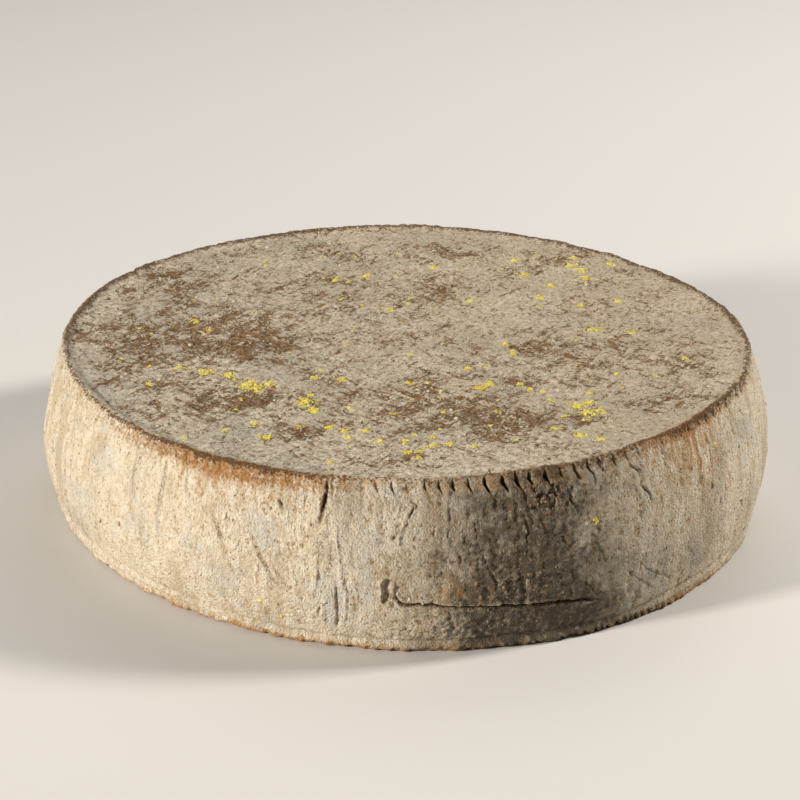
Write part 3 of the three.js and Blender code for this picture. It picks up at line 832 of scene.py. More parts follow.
        # x, y, half-lengths along x and y and density of each patch
        patches = (
            (-105, 68, 20, 20, 0.85), (-100, 6, 34, 26, 0.9), (-58, -2, 34, 20, 0.6), (-72, -66, 15, 7, 0.95),
            (-48, -103, 12, 8, 0.9), (-14, -60, 26, 9, 0.5), (8, -86, 26, 9, 0.7), (44, -88, 30, 12, 0.75),
            (56, -4, 22, 10, 0.55), (88, -30, 22, 10, 0.5), (108, -72, 14, 9, 0.7), (124, -36, 10, 12, 0.5),
            (84, 114, 20, 10, 0.4), (-20, 60, 40, 26, 0.5), (30, 118, 26, 12, 0.45), (-6, -128, 30, 7, 0.4),
            # The wide patch at (-84, -74), on the front left, is partly brown mould and partly painted shade.
            (-84, -74, 34, 26, 0.6), (22, -96, 40, 22, 0.4), (60, -30, 40, 30, 0.3), (6, -50, 30, 20, 0.35),
            (96, 30, 24, 40, 0.25), (-30, 112, 30, 14, 0.4), (-122, -20, 18, 34, 0.3),
        )
        total = np.zeros_like(x)
        wander = np.stack([9.0 * Noise(62).layers(p, 22.0, 2), 9.0 * Noise(63).layers(p, 22.0, 2)])
        for at_x, at_y, rx, ry, amount in patches:
            away = ((x + wander[0] - at_x) / rx) ** 2 + ((y + wander[1] - at_y) / ry) ** 2
            total = total + amount * np.exp(-0.8 * away)
        broken = 1.0 + 1.2 * Noise(61).layers(p, 12.0, 3)
        loose = 0.15 + 0.7 * Noise(67).layers(p, (26.0, 20.0, 1.0), 4)
        return np.clip(0.85 * total * broken + np.clip(loose, 0.0, 1.0), 0.0, 1.0)

    def cloth_prints(self, x: Array, y: Array, p: Array) -> tuple[Array, Array]:
        """Thin low ridges that folds of the press cloth left across the top.

        Each is a straight line, bent by noise: its height is a bell curve of the distance to it.

        Args:
            x: mm to the right.
            y: mm to the back.
            p: the same places as x, y, z.

        Returns:
            The height in mm and the mask of the ridges.
        """
        # Heading in degrees, distance from the middle and height of each ridge
        lines = (
            (62, -70, 0.35), (58, -112, 0.25), (66, 20, 0.3), (-24, -20, 0.25), (71, 66, 0.25),
            (35, -52, 0.25), (52, 98, 0.25), (-38, 74, 0.3), (80, -96, 0.25), (28, 30, 0.2), (60, -88, 0.25),
        )
        bent = 5.0 * Noise(71).layers(p, 55.0, 2)
        height = np.zeros_like(x)
        for heading, offset, high in lines:
            a = math.radians(heading)
            away = x * math.sin(a) - y * math.cos(a) - offset + bent
            along = x * math.cos(a) + y * math.sin(a)
            run = np.stack([along, 0.0 * along, 0.0 * along], axis=-1)
            shown = smoothstep(-0.1, 0.5, Noise(int(heading + 200)).at(run, 45.0))
            height = height + high * shown * bump(away, 0.0, 0.9)
        return height, np.clip(3.0 * height, 0.0, 1.0)

    def beds(self, bed: Bed, first: Array, second: Array) -> tuple[Array, Array, Array, Array]:
        """Where small grains lie on the finished rind, and which way is across, along and out.

        Args:
            bed: the face that they lie on.
            first: x in mm on the top, degrees from the front on the side.
            second: y in mm on the top, height in mm on the side.

        Returns:
            Places and the three directions, each (n, 3).
        """
        form = self.form
        if bed is Bed.TOP:
            r = np.hypot(first, second)
            lift, _ = self.top(first, second)
            _, height = form.settle(np.degrees(np.arctan2(first, -second)), r, form.top_floor(r))
            axes = [np.broadcast_to(axis, (len(r), 3)) for axis in np.eye(3)]
            return np.stack([first, second, height + lift], axis=-1), *axes
        a = np.radians(first)
        down = form.height - form.rim_corner - second
        lift, _ = self.side(first, second, first / self.pleats.pitch(), down)
        radius, height = form.settle(first, form.belly(second), second)
        slope = form.belly(second + 0.5) - form.belly(second - 0.5)
        outward = wheel_points(first, 1.0, 0.0)
        rise = unit(outward * slope[:, None] + [0.0, 0.0, 1.0])
        across = np.stack([np.cos(a), np.sin(a), 0.0 * a], axis=-1)
        out = np.cross(across, rise)
        place = wheel_points(first, radius, height) + out * lift[:, None]
        return place, across, rise, out

    def both_beds(self, top: tuple[Array, Array], side: tuple[Array, Array]) -> tuple[Array, ...]:
        """Beds on the top and after them beds on the side, joined."""
        beds = zip(self.beds(Bed.TOP, *top), self.beds(Bed.SIDE, *side))
        return tuple(np.concatenate(both) for both in beds)


@dataclass(frozen=True)
class RindGrid:
    """How the rind's meshes are divided, so that the side and the top share their seam, in mm."""

    per_pleat: int = 10
    gather: float = 0.5
    seam_inward: float = 6.4
    sectors: int = 3

    def lines(self, pleats: Pleats) -> int:
        """Number of upright mesh lines round the wheel."""
        return self.per_pleat * pleats.count

    def angle(self, turn: Array, pleats: Pleats) -> Array:
        """Angle of a mesh line, with the lines gathered towards each pleat's middle.

        Between two pleats the share u of the way becomes u - g sin(2 pi u) / 2 pi.

        Args:
            turn: line number, with fractions, from 0 to the number of lines.
            pleats: where the pleats are.

        Returns:
            Degrees from the front.
        """
        part = np.asarray(turn, float) / self.per_pleat
        k = np.floor(part)
        u = part - k
        u = u - self.gather * np.sin(2.0 * np.pi * u) / (2.0 * np.pi)
        start = pleats.angle(k)
        return start + (pleats.angle(k + 1) - start) * u


def new_piece(name: str, points: Array, faces: list[Array], masks: dict[str, Array],
              normals: Array | None = None) -> bpy.types.Object:
    """Puts arrays into a new smooth-shaded mesh object.

    Args:
        name: the piece's name.
        points: (n, 3) places in mm.
        faces: arrays of corner numbers, one array for each number of corners.
        masks: float attributes by name, one value for each point.
        normals: (n, 3) normals to keep where pieces meet, with zeros where Blender works them out.

    Returns:
        The new object, at the origin and in the scene.
    """
    mesh = bpy.data.meshes.new(name)
    mesh.vertices.add(len(points))
    mesh.vertices.foreach_set("co", (points * MM).astype(np.float32).ravel())
    corners = np.concatenate([f.ravel() for f in faces]).astype(np.int32)
    sizes = np.concatenate([np.full(len(f), f.shape[1]) for f in faces]).astype(np.int32)
    mesh.loops.add(len(corners))
    mesh.loops.foreach_set("vertex_index", corners)
    mesh.polygons.add(len(sizes))
    mesh.polygons.foreach_set("loop_start", (np.cumsum(sizes) - sizes).astype(np.int32))
    mesh.polygons.foreach_set("loop_total", sizes)
    mesh.polygons.foreach_set("use_smooth", np.ones(len(sizes), bool))
    for mask, values in masks.items():
        attribute = mesh.attributes.new(mask, "FLOAT", "POINT")
        attribute.data.foreach_set("value", np.asarray(values, np.float32).ravel())
    mesh.update(calc_edges=True)
    mesh.validate()
    if normals is not None:
        mesh.normals_split_custom_set_from_vertices(normals.tolist())
    piece = bpy.data.objects.new(name, mesh)
    bpy.context.scene.collection.objects.link(piece)
    return piece


def grid_quads(number: Array) -> Array:
    """Quads over a grid of corner numbers, facing the cross product of its first and second ways."""
    corners = [number[:-1, :-1], number[1:, :-1], number[1:, 1:], number[:-1, 1:]]
    return np.stack(corners, axis=-1).reshape(-1, 4)


def loop_quads(first: Array, second: Array) -> Array:
    """Quads between two closed loops of corner numbers, facing out where second is above first."""
    return np.stack([first, np.roll(first, -1), np.roll(second, -1), second], axis=-1)


def fan(loop: Array, middle: int) -> Array:
    """Triangles from a middle corner to each step of a closed loop of corner numbers."""
    return np.stack([loop, np.roll(loop, -1), np.full(len(loop), middle)], axis=-1)


UNDERSIDE_MASKS = {"top": 1.0, "dark_rind_and_painted_shade": 0.4, "stain": 0.4, "hollow": 0.4}


@dataclass
class SideRind:
    """The rind of the side: from the underside over the flange and the rim into the top's groove."""

    relief: RindRelief
    grid: RindGrid = field(default_factory=RindGrid)
    underside_radii: tuple = (60.0, 112.0, 144.0)
    foot_radius: float = 149.6
    inner_depth: float = 9.0
    core: tuple = (75.0, 36.0)
    # First and last height and number of the rings, above the foot and up the belly
    foot_rings: tuple = (0.85, 9.4, 19)
    belly_rings: tuple = (9.9, 63.4, 118)
    rim_rings_from: float = 63.85
    rim_rings: int = 19
    # How far in over the rim the next rings lie
    over_rim: tuple = (0.08, 0.25, 0.5, 0.85, 1.25, 1.7, 2.2, 2.75)
    turned_within: float = 2.3

    def profile(self) -> tuple[Array, Array]:
        """The meridian's radii and heights, from the foot's edge to a ring past the seam on the top.

        It goes up the belly's parabola, over the rim on a quarter of an ellipse and down into the dish.

        Returns:
            Radii and heights in mm, one for each ring.
        """
        form = self.relief.form
        last = form.height - form.rim_corner
        low, side = np.linspace(*self.foot_rings), np.linspace(*self.belly_rings)
        high = np.linspace(self.rim_rings_from, last, self.rim_rings)
        z = np.concatenate([[0.0, 0.35], low, side, high])
        bevel = 0.4 * form.foot_bevel * (1.0 - smoothstep(0.0, 3.0, z))
        r = form.belly(z) - bevel
        r[0] = form.base_rim_radius - form.foot_bevel
        rim = form.rim_radius()
        inward = np.concatenate([self.over_rim, np.arange(3.3, 6.2, 0.5)])
        inward = np.concatenate([inward, [self.grid.seam_inward, self.grid.seam_inward + 0.6]])
        part = np.minimum(inward, self.turned_within) / self.turned_within
        turned = np.sqrt(np.clip(1.0 - (1.0 - part) ** 2, 0.0, 1.0))
        lip = last + (form.rim_corner + 0.4) * turned
        falling = smoothstep(self.turned_within, 5.6, inward)
        over = lip * (1.0 - falling) + form.top_floor(rim - inward) * falling
        return np.concatenate([r, rim - inward]), np.concatenate([z, over])

    def surface(self) -> tuple[Array, Array, dict[str, Array]]:
        """Works out the whole skin as rings by lines.

        Each point of the meridian is turned round the wheel, made out of true, then moved along
        the meridian's normal by the side's relief or straight up by the top's.

        Returns:
            Points and normals as (rings, lines, 3), and the masks as (rings, lines).
        """
        form, pleats = self.relief.form, self.relief.pleats
        r0, z0 = self.profile()
        rim = form.rim_radius()
        last = form.height - form.rim_corner
        down = np.where(z0 <= last, last - z0, r0 - rim)[:, None]
        turn = np.arange(self.grid.lines(pleats))
        angle = self.grid.angle(turn, pleats)[None, :] + pleats.lean(down)
        line = (turn / self.grid.per_pleat)[None, :] + 0.0 * down
        r, z = r0[:, None] + 0.0 * angle, z0[:, None] + 0.0 * angle
        dr, dz = np.gradient(r0), np.gradient(z0)
        length = np.hypot(dr, dz)
        out, up = (dz / length)[:, None], (-dr / length)[:, None]
        side, side_masks = self.relief.side(angle, z, line, down + 0.0 * angle)
        a = np.radians(angle)
        top, top_masks = self.relief.top(r * np.sin(a), -r * np.cos(a))
        on_top = smoothstep(2.0, self.grid.seam_inward, rim - r) * (z > last)
        side = side * smoothstep(0.0, 0.9, z) * (1.0 - on_top)
        radius, height = form.settle(angle, r, z)
        radius = radius + side * out
        height = np.maximum(height + side * up + top * on_top, 0.0)
        points = wheel_points(angle, radius, height)
        round_it = np.roll(points, -1, axis=1) - np.roll(points, 1, axis=1)
        normals = unit(np.cross(round_it, np.gradient(points, axis=0)))
        masks = {name: side_masks[name] * (1.0 - on_top) + top_masks[name] * on_top for name in side_masks}
        masks["top"] = smoothstep(1.6, 4.6, rim - r + 0.8 * Noise(97).at(points, 3.0)) * (z > last)
        masks |= self.rim_bands(angle, np.where(z > last, r - rim, last - z))
        return points[:-1], normals[:-1], {name: values[:-1] for name, values in masks.items()}

    def rim_bands(self, angle: Array, down: Array) -> dict[str, Array]:
        """The dark crust on the rim's edge and the orange line below it, both with ragged borders.

        Args:
            angle: degrees from the front.
            down: mm down from the edge, negative inward over the top.

        Returns:
            The masks by name, 1 on a band and 0 away from it.
        """
        p = self.relief.rind_points(angle, down)
        ragged = 1.2 * Noise(73).layers(p, (4.0, 4.0, 4.0), 3) + 0.9 * Noise(79).at(p, 26.0)
        left = facing(angle, -30.0, 24.0)
        front = facing(angle, 14.0, 14.0)
        right = facing(angle, 52.0, 20.0)
        weak = facing(angle, -3.0, 9.0)
        back = smoothstep(60.0, 100.0, np.abs(around(angle, 0.0)))
        wide = 1.4 + 0.5 * right + 0.9 * back
        crust = np.exp(-(((down + ragged + 1.4 + 1.1 * back) / wide) ** 2))
        crust = crust * (0.65 + 0.4 * np.maximum.reduce([left, right, 0.7 * back]) - 0.2 * weak)
        orange = bump(down + 1.7 * ragged, 1.0 + 0.9 * left, 1.5 + 1.5 * left)
        warm = 0.35 + 0.6 * np.maximum.reduce([left, 0.45 * front, 0.6 * right]) - 0.3 * weak
        return {"rim": np.clip(crust, 0.0, 1.0), "orange": np.clip(orange * warm, 0.0, 1.0)}

    def build(self) -> tuple[list[bpy.types.Object], Array, Array]:
        """Makes the side as closed slices that meet on the same mesh lines.

        Returns:
            The pieces, and the points and normals of the seam with the top, (lines, 3) each.
        """
        points, normals, masks = self.surface()
        lines = points.shape[1]
        foot, seam = points[0], points[-1]
        shares = [radius / self.foot_radius for radius in self.underside_radii]
        under = np.stack([foot * [s, s, 0.0] for s in shares])
        inner = (seam - [0.0, 0.0, self.inner_depth])[None]
        skin = np.concatenate([under, points, inner])
        kept = np.zeros_like(skin)
        kept[len(under):-1] = normals
        flat = dict.fromkeys(masks, 0.0) | UNDERSIDE_MASKS
        per_sector = lines // self.grid.sectors
        axis_top = inner[0, :, 2].mean()
        pieces = []
        # The slices start a sixth of the way round, so that no seam is at the front.
        for sector in range(self.grid.sectors):
            first = sector * per_sector + lines // 6
            columns = np.arange(first, first + per_sector + 1) % lines
            part = skin[:, columns].swapaxes(0, 1)
            width, rings = part.shape[:2]
            number = np.arange(width * rings).reshape(width, rings)
            base, crown, first_core, last_core = width * rings + np.arange(4)
            cores = [self.core_point(part[0]), self.core_point(part[-1])]
            every = np.vstack([part.reshape(-1, 3), [[0.0, 0.0, 0.0], [0.0, 0.0, axis_top]], cores])
            triangles = [
                np.stack([number[1:, 0], number[:-1, 0], np.full(width - 1, base)], axis=-1),
                np.stack([number[:-1, -1], number[1:, -1], np.full(width - 1, crown)], axis=-1),
                fan(np.concatenate([[base], number[0], [crown]]), first_core),
                fan(np.concatenate([[crown], number[-1, ::-1], [base]]), last_core),
            ]
            whole = {}
            for name, values in masks.items():
                padded = np.full(skin.shape[:2], flat[name])
                padded[len(under):-1] = values
                whole[name] = np.concatenate([padded[:, columns].T.ravel(), np.full(4, flat[name])])
            edge = np.zeros((width, rings, 3))
            edge[[0, -1]] = kept[:, columns[[0, -1]]].swapaxes(0, 1)
            edge[:, -2] = kept[-2, columns]
            edge = np.vstack([edge.reshape(-1, 3), np.zeros((4, 3))])
            faces = [grid_quads(number), np.concatenate(triangles)]
            pieces.append(new_piece(f"rind_side_{sector + 1}", every, faces, whole, edge))
        LOG.info("rind_side: %d slices, %d rings by %d lines", len(pieces), skin.shape[0], lines)
        return pieces, seam, normals[-1]

    def core_point(self, column: Array) -> Array:
        """The point inside a slice's flat end that its triangles meet at."""
        outward = unit(column[len(column) // 2, :2])
        return np.array([*(outward * self.core[0]), self.core[1]])


@dataclass
class TopRind:
    """The rind of the top face, inside the groove: closed lids that meet the side at the seam."""

    relief: RindRelief
    grid: RindGrid = field(default_factory=RindGrid)
    thickness: float = 6.0

    def plan(self) -> tuple[Array, Array, Array]:
        """Spreads a square grid over the disc, with its edge on the side's mesh lines.

        A place on a square of half-width s turns to the angle given by its share of the way round
        the square, and its radius is s. Near the edge the angle eases into the side's lines.

        Returns:
            Mesh line number, angle in degrees and radius as a share of the seam's, as whole grids.
        """
        pleats = self.relief.pleats
        lines = self.grid.lines(pleats)
        steps = lines // 4
        u, v = np.meshgrid(np.linspace(-1, 1, steps + 1), np.linspace(-1, 1, steps + 1), indexing="ij")
        reach = np.maximum(np.abs(u), np.abs(v))
        safe = np.maximum(reach, 1e-9)
        quarter = np.where(
            np.abs(u) >= np.abs(v),
            np.where(u > 0, 2.0 + v / safe, 6.0 - v / safe),
            np.where(v > 0, 4.0 - u / safe, u / safe),
        )
        turn = (quarter * lines / 8.0) % lines
        even = turn * 360.0 / lines
        gathered = self.grid.angle(turn, pleats)
        return turn, even + around(gathered, even) * smoothstep(0.9, 1.0, reach), reach

    def build(self, seam: Array, seam_normals: Array) -> list[bpy.types.Object]:
        """Makes the top as two closed halves: the skin, a short wall and a flat underside.

        Args:
            seam: points of the side's last ring.
            seam_normals: its normals.

        Returns:
            The pieces.
        """
        form = self.relief.form
        turn, angle, reach = self.plan()
        r = reach * (form.rim_radius() - self.grid.seam_inward)
        a = np.radians(angle)
        relief, masks = self.relief.top(r * np.sin(a), -r * np.cos(a))
        radius, height = form.settle(angle, r, form.top_floor(r))
        points = wheel_points(angle, radius, height + relief)
        normals = unit(np.cross(np.gradient(points, axis=0), np.gradient(points, axis=1)))
        on_edge = reach > 1.0 - 1e-9
        line = np.round(turn[on_edge]).astype(int) % len(seam)
        points[on_edge], normals[on_edge] = seam[line], seam_normals[line]
        masks |= {"top": np.ones_like(r), "rim": np.zeros_like(r), "orange": np.zeros_like(r)}
        half = points.shape[0] // 2
        pieces = []
        for name, rows in (("rind_top_left", slice(0, half + 1)), ("rind_top_right", slice(half, None))):
            chosen = {mask: values[rows] for mask, values in masks.items()}
            pieces.append(self.lid(name, points[rows], normals[rows], chosen))
        LOG.info("rind_top: 2 halves, %d by %d grid", *points.shape[:2])
        return pieces

    def lid(self, name: str, points: Array, normals: Array, masks: dict[str, Array]) -> bpy.types.Object:
        """Makes one closed lid from a grid of skin points.

        Args:
            name: the piece's name.
            points: (rows, columns, 3) in mm.
            normals: the skin's normals, kept along the lid's edge.
            masks: float attributes, (rows, columns) each.

        Returns:
            The piece.
        """
        rows, columns = points.shape[:2]
        number = np.arange(rows * columns).reshape(rows, columns)
        edge = np.concatenate([number[:-1, 0], number[-1, :-1], number[:0:-1, -1], number[0, :0:-1]])
        below = points.reshape(-1, 3)[edge] - [0.0, 0.0, self.thickness]
        low = rows * columns + np.arange(len(edge))
        every = np.vstack([points.reshape(-1, 3), below, below.mean(axis=0)])
        triangles = fan(low[::-1], rows * columns + len(edge))
        extra = len(edge) + 1
        whole = {}
        for mask, values in masks.items():
            whole[mask] = np.concatenate([values.ravel(), np.full(extra, float(mask == "top"))])
        kept = np.zeros_like(every)
        kept[edge] = normals.reshape(-1, 3)[edge]
        return new_piece(name, every, [grid_quads(number), loop_quads(low, edge), triangles], whole, kept)


class Nodes:
    """Adds shader nodes to a material in few words, with all sizes in mm."""

    def __init__(self, material: bpy.types.Material) -> None:
        """Starts an empty node tree with its output."""
        material.use_nodes = True
        self.tree = material.node_tree
        self.tree.nodes.clear()
        self.output = self.tree.nodes.new("ShaderNodeOutputMaterial")
        place = self.tree.nodes.new("ShaderNodeTexCoord").outputs["Object"]
        self.place = self.scaled(place, (1.0 / MM,) * 3)

    def link(self, value: object, socket: bpy.types.NodeSocket) -> None:
        """Joins a node's output to a socket, or sets the socket to a plain value."""
        if isinstance(value, bpy.types.NodeSocket):
            self.tree.links.new(value, socket)
        else:
            socket.default_value = value

    def scaled(self, place: bpy.types.NodeSocket, scale: tuple, turn: float = 0.0) -> bpy.types.NodeSocket:
        """Coordinates turned back by degrees about z, then scaled on each axis."""
        node = self.tree.nodes.new("ShaderNodeMapping")
        node.vector_type = "TEXTURE"
        self.link(place, node.inputs["Vector"])
        node.inputs["Rotation"].default_value = (0.0, 0.0, math.radians(turn))
        node.inputs["Scale"].default_value = tuple(1.0 / s for s in scale)
        return node.outputs["Vector"]

    def noise(self, size: float, detail: float = 3.0, rough: float = 0.55, place: object = None,
              twist: float = 0.0) -> bpy.types.NodeSocket:
        """Noise of about 0 to 1 with features of a size in mm."""
        node = self.tree.nodes.new("ShaderNodeTexNoise")
        self.link(place or self.place, node.inputs["Vector"])
        settings = {"Scale": 1.0 / size, "Detail": detail, "Roughness": rough, "Distortion": twist}
        for name, value in settings.items():
            node.inputs[name].default_value = value
        return node.outputs["Fac"]

    def cells(self, size: float) -> bpy.types.NodeSocket:
        """Distance to the nearest of scattered points, in cell widths."""
        node = self.tree.nodes.new("ShaderNodeTexVoronoi")
        self.link(self.place, node.inputs["Vector"])
        node.inputs["Scale"].default_value = 1.0 / size
        return node.outputs["Distance"]

    def mask(self, name: str) -> bpy.types.NodeSocket:
        """A float attribute of the piece."""
        node = self.tree.nodes.new("ShaderNodeAttribute")
        node.attribute_name = name
        return node.outputs["Fac"]

    def math(self, operation: str, *values: object) -> bpy.types.NodeSocket:
        """A Math node with its inputs linked or set."""
        node = self.tree.nodes.new("ShaderNodeMath")
        node.operation = operation
        for value, socket in zip(values, node.inputs):
            self.link(value, socket)
        return node.outputs["Value"]

    def ease(self, value: object, low: float, high: float, start: float = 0.0,
             end: float = 1.0) -> bpy.types.NodeSocket:
        """Smoothly maps low..high to start..end."""
        node = self.tree.nodes.new("ShaderNodeMapRange")
        node.interpolation_type = "SMOOTHSTEP"
        self.link(value, node.inputs["Value"])
        for name, number in (("From Min", low), ("From Max", high), ("To Min", start), ("To Max", end)):
            node.inputs[name].default_value = number
        return node.outputs["Result"]

    def mix(self, amount: object, first: object, second: object) -> bpy.types.NodeSocket:
        """Blends two colours."""
        node = self.tree.nodes.new("ShaderNodeMix")
        node.data_type = "RGBA"
        self.link(amount, node.inputs["Factor"])
        # The sockets numbered 6, 7 and 2 are the node's two colours and its result as a colour.
        self.link(self.rgba(first), node.inputs[6])
        self.link(self.rgba(second), node.inputs[7])
        return node.outputs[2]

    def rgba(self, value: object) -> object:
        """A colour as four numbers, or a socket as it is."""
        return (*value, 1.0) if isinstance(value, tuple) else value

    def shader(self, color: object, roughness: float, specular: float, bump_height: object = None,
               bump_mm: float = 0.0, sheen: float = 0.0) -> None:
        """Ends the tree in a Principled shader with plain values on its own sockets."""
        node = self.tree.nodes.new("ShaderNodeBsdfPrincipled")
        self.link(self.rgba(color), node.inputs["Base Color"])
        node.inputs["Roughness"].default_value = roughness
        node.inputs["Specular IOR Level"].default_value = specular
        node.inputs["Sheen Weight"].default_value = sheen
        node.inputs["Sheen Roughness"].default_value = 0.6
        if bump_height is not None:
            relief = self.tree.nodes.new("ShaderNodeBump")
            relief.inputs["Strength"].default_value = 1.0
            relief.inputs["Distance"].default_value = bump_mm * MM
            self.link(bump_height, relief.inputs["Height"])
            self.tree.links.new(relief.outputs["Normal"], node.inputs["Normal"])
        self.tree.links.new(node.outputs["BSDF"], self.output.inputs["Surface"])


@dataclass(frozen=True)
class RindFinish:
    """The mould-grown rind: cream and beige on the side, felted grey with brown mould on the top."""

    cream: Color = (0.74, 0.63, 0.475)
    ivory: Color = (0.88, 0.80, 0.65)
    pale_grey: Color = (0.62, 0.60, 0.54)
    beige: Color = (0.50, 0.38, 0.23)
    tan: Color = (0.30, 0.19, 0.09)
    # The darker skin: painted shade round the front right, and the darker rind of the smooth band and
    # patches.
    skin_shade: Color = (0.13, 0.105, 0.075)
    orange: Color = (0.50, 0.26, 0.09)
    rust: Color = (0.24, 0.11, 0.04)
    felt: Color = (0.44, 0.37, 0.28)
    felt_light: Color = (0.76, 0.69, 0.55)
    felt_cool: Color = (0.40, 0.38, 0.32)
    felt_warm: Color = (0.54, 0.40, 0.25)
    brown: Color = (0.285, 0.152, 0.054)
    deep_brown: Color = (0.105, 0.058, 0.024)
    dark: Color = (0.05, 0.03, 0.017)
    crust: Color = (0.115, 0.062, 0.028)

    def side_color(self, nodes: Nodes) -> bpy.types.NodeSocket:
        """Cream skin with beige and grey mottling, low places painted browner partly as shade, stains, and
        darker skin that is partly painted shade.
        """
        n = nodes
        tall = n.scaled(n.place, (1.0, 1.0, 0.22))
        streaks = n.noise(2.4, 4.0, 0.6, tall)
        speckle = n.noise(1.4, 4.0, 0.7)
        color = n.mix(n.ease(n.noise(3.4, 6.0, 0.7, twist=0.3), 0.34, 0.66), self.cream, self.ivory)
        color = n.mix(n.ease(n.noise(0.8, 3.0, 0.7), 0.45, 0.65, 0.0, 0.35), color, self.beige)
        color = n.mix(n.ease(n.noise(19.0, 4.0, 0.6), 0.5, 0.66, 0.0, 0.7), color, self.pale_grey)
        color = n.mix(n.ease(streaks, 0.53, 0.74, 0.0, 0.6), color, self.beige)
        color = n.mix(n.ease(n.noise(9.0, 5.0, 0.66, tall), 0.5, 0.62, 0.0, 0.5), color, self.beige)
        # Low places turn beige and tan: painted shade, with random specks of the rind's own colour.
        hollow = n.math("ADD", n.mask("hollow"), n.ease(speckle, 0.3, 0.7, -0.55, 0.55))
        color = n.mix(n.ease(hollow, 0.4, 0.95, 0.0, 0.8), color, self.beige)
        color = n.mix(n.ease(hollow, 0.85, 1.2, 0.0, 0.85), color, self.tan)
        # Darker skin by the mask: painted shade round the front right, darker rind elsewhere.
        mixed = n.math("MULTIPLY", n.mask("dark_rind_and_painted_shade"), n.ease(n.noise(3.0, 5.0, 0.65), 0.25, 0.6, 0.6, 1.1))
        color = n.mix(mixed, color, self.skin_shade)
        stain = n.math("ADD", n.mask("stain"), n.ease(streaks, 0.3, 0.7, -0.4, 0.25))
        stain = n.math("ADD", stain, n.ease(speckle, 0.35, 0.65, -0.2, 0.2))
        return n.mix(n.math("MULTIPLY", n.ease(stain, 0.1, 0.9), 0.85), color, self.orange)

    def top_color(self, nodes: Nodes) -> bpy.types.NodeSocket:
        """Grey felt with strokes of brown mould, dark specks and pale threads."""
        n = nodes
        strokes = n.scaled(n.place, (0.3, 1.0, 1.0), 55.0)
        crossed = n.scaled(n.place, (0.34, 1.0, 1.0), -44.0)
        felt = n.mix(n.ease(n.noise(2.2, 5.0, 0.7, twist=0.3), 0.4, 0.6), self.felt, self.felt_light)
        felt = n.mix(n.ease(n.noise(30.0, 4.0, 0.6), 0.45, 0.6, 0.0, 0.5), felt, self.felt_cool)
        # Warmer felt towards the right and the back of the top, by the mask.
        felt = n.mix(n.math("MULTIPLY", n.mask("stain"), 0.55), felt, self.felt_warm)
        brown = n.mix(n.ease(n.noise(1.8, 4.0, 0.7), 0.42, 0.58), self.brown, self.deep_brown)
        # Low places of the felt turn brown: painted shade, partly also brown mould.
        marks = n.ease(n.noise(1.0, 4.0, 0.65, crossed), 0.3, 0.7, -0.45, 0.4)
        hollow = n.math("ADD", n.mask("hollow"), marks)
        felt = n.mix(n.ease(hollow, 0.5, 1.15, 0.0, 0.6), felt, brown)
        fine = n.math("MAXIMUM", n.noise(1.5, 4.0, 0.65, strokes, 0.4), n.noise(1.5, 4.0, 0.65, crossed, 0.4))
        broad = n.math("MAXIMUM", n.noise(4.0, 4.0, 0.6, strokes, 0.6), n.noise(4.0, 4.0, 0.6, crossed, 0.6))
        dense = n.math("ADD", n.math("MULTIPLY", n.mask("dark_rind_and_painted_shade"), 0.17), n.math("MULTIPLY", broad, 0.68))
        amount = n.math("ADD", n.math("MULTIPLY", fine, 0.56), dense)
        amount = n.math("ADD", amount, n.ease(hollow, 0.1, 1.1, -0.05, 0.06))
        color = n.mix(n.ease(amount, 0.7, 0.8, 0.0, 0.92), felt, brown)
        sparse = n.math("MULTIPLY", n.mask("dark_rind_and_painted_shade"), 0.03)
        flecks = n.math("SUBTRACT", n.noise(1.3, 4.0, 0.7, crossed), sparse)
        color = n.mix(n.ease(flecks, 0.56, 0.63, 0.0, 0.65), color, self.felt_light)
        specks = n.math("ADD", n.noise(0.8, 3.0, 0.6, strokes), n.math("MULTIPLY", n.mask("dark_rind_and_painted_shade"), 0.04))
        color = n.mix(n.ease(specks, 0.61, 0.68, 0.0, 0.9), color, self.dark)
        drawn = n.scaled(n.place, (0.12, 1.0, 1.0), 33.0)
        threads = n.ease(n.noise(0.9, 2.0, 0.5, drawn), 0.62, 0.68, 0.0, 0.6)
        return n.mix(threads, color, self.felt_light)

    def material(self) -> bpy.types.Material:
        """Builds the material.

        Returns:
            The new material.
        """
        material = bpy.data.materials.new("tomme_rind")
        n = Nodes(material)
        color = n.mix(n.mask("top"), self.side_color(n), self.top_color(n))
        ragged = n.ease(n.noise(1.3, 4.0, 0.7), 0.3, 0.7, -0.45, 0.4)
        rusty = n.mix(n.ease(n.noise(1.0, 4.0, 0.68), 0.42, 0.6), self.rust, self.orange)
        orange = n.math("ADD", n.mask("orange"), ragged)
        color = n.mix(n.ease(orange, 0.25, 0.95, 0.0, 0.85), color, rusty)
        rim = n.math("ADD", n.mask("rim"), n.ease(n.noise(1.1, 4.0, 0.68), 0.3, 0.7, -0.5, 0.35))
        color = n.mix(n.ease(rim, 0.3, 0.75, 0.0, 0.92), color, self.crust)
        porous = n.ease(n.noise(8.0, 2.0), 0.5, 0.56)
        pores = n.math("MULTIPLY", n.ease(n.cells(3.0), 0.06, 0.17, 0.85, 0.0), porous)
        color = n.mix(pores, color, self.crust)
        # Raised folds, cloth prints and grain turn ivory: painted highlight.
        color = n.mix(n.ease(n.mask("fold"), 0.15, 0.9, 0.0, 0.35), color, self.ivory)
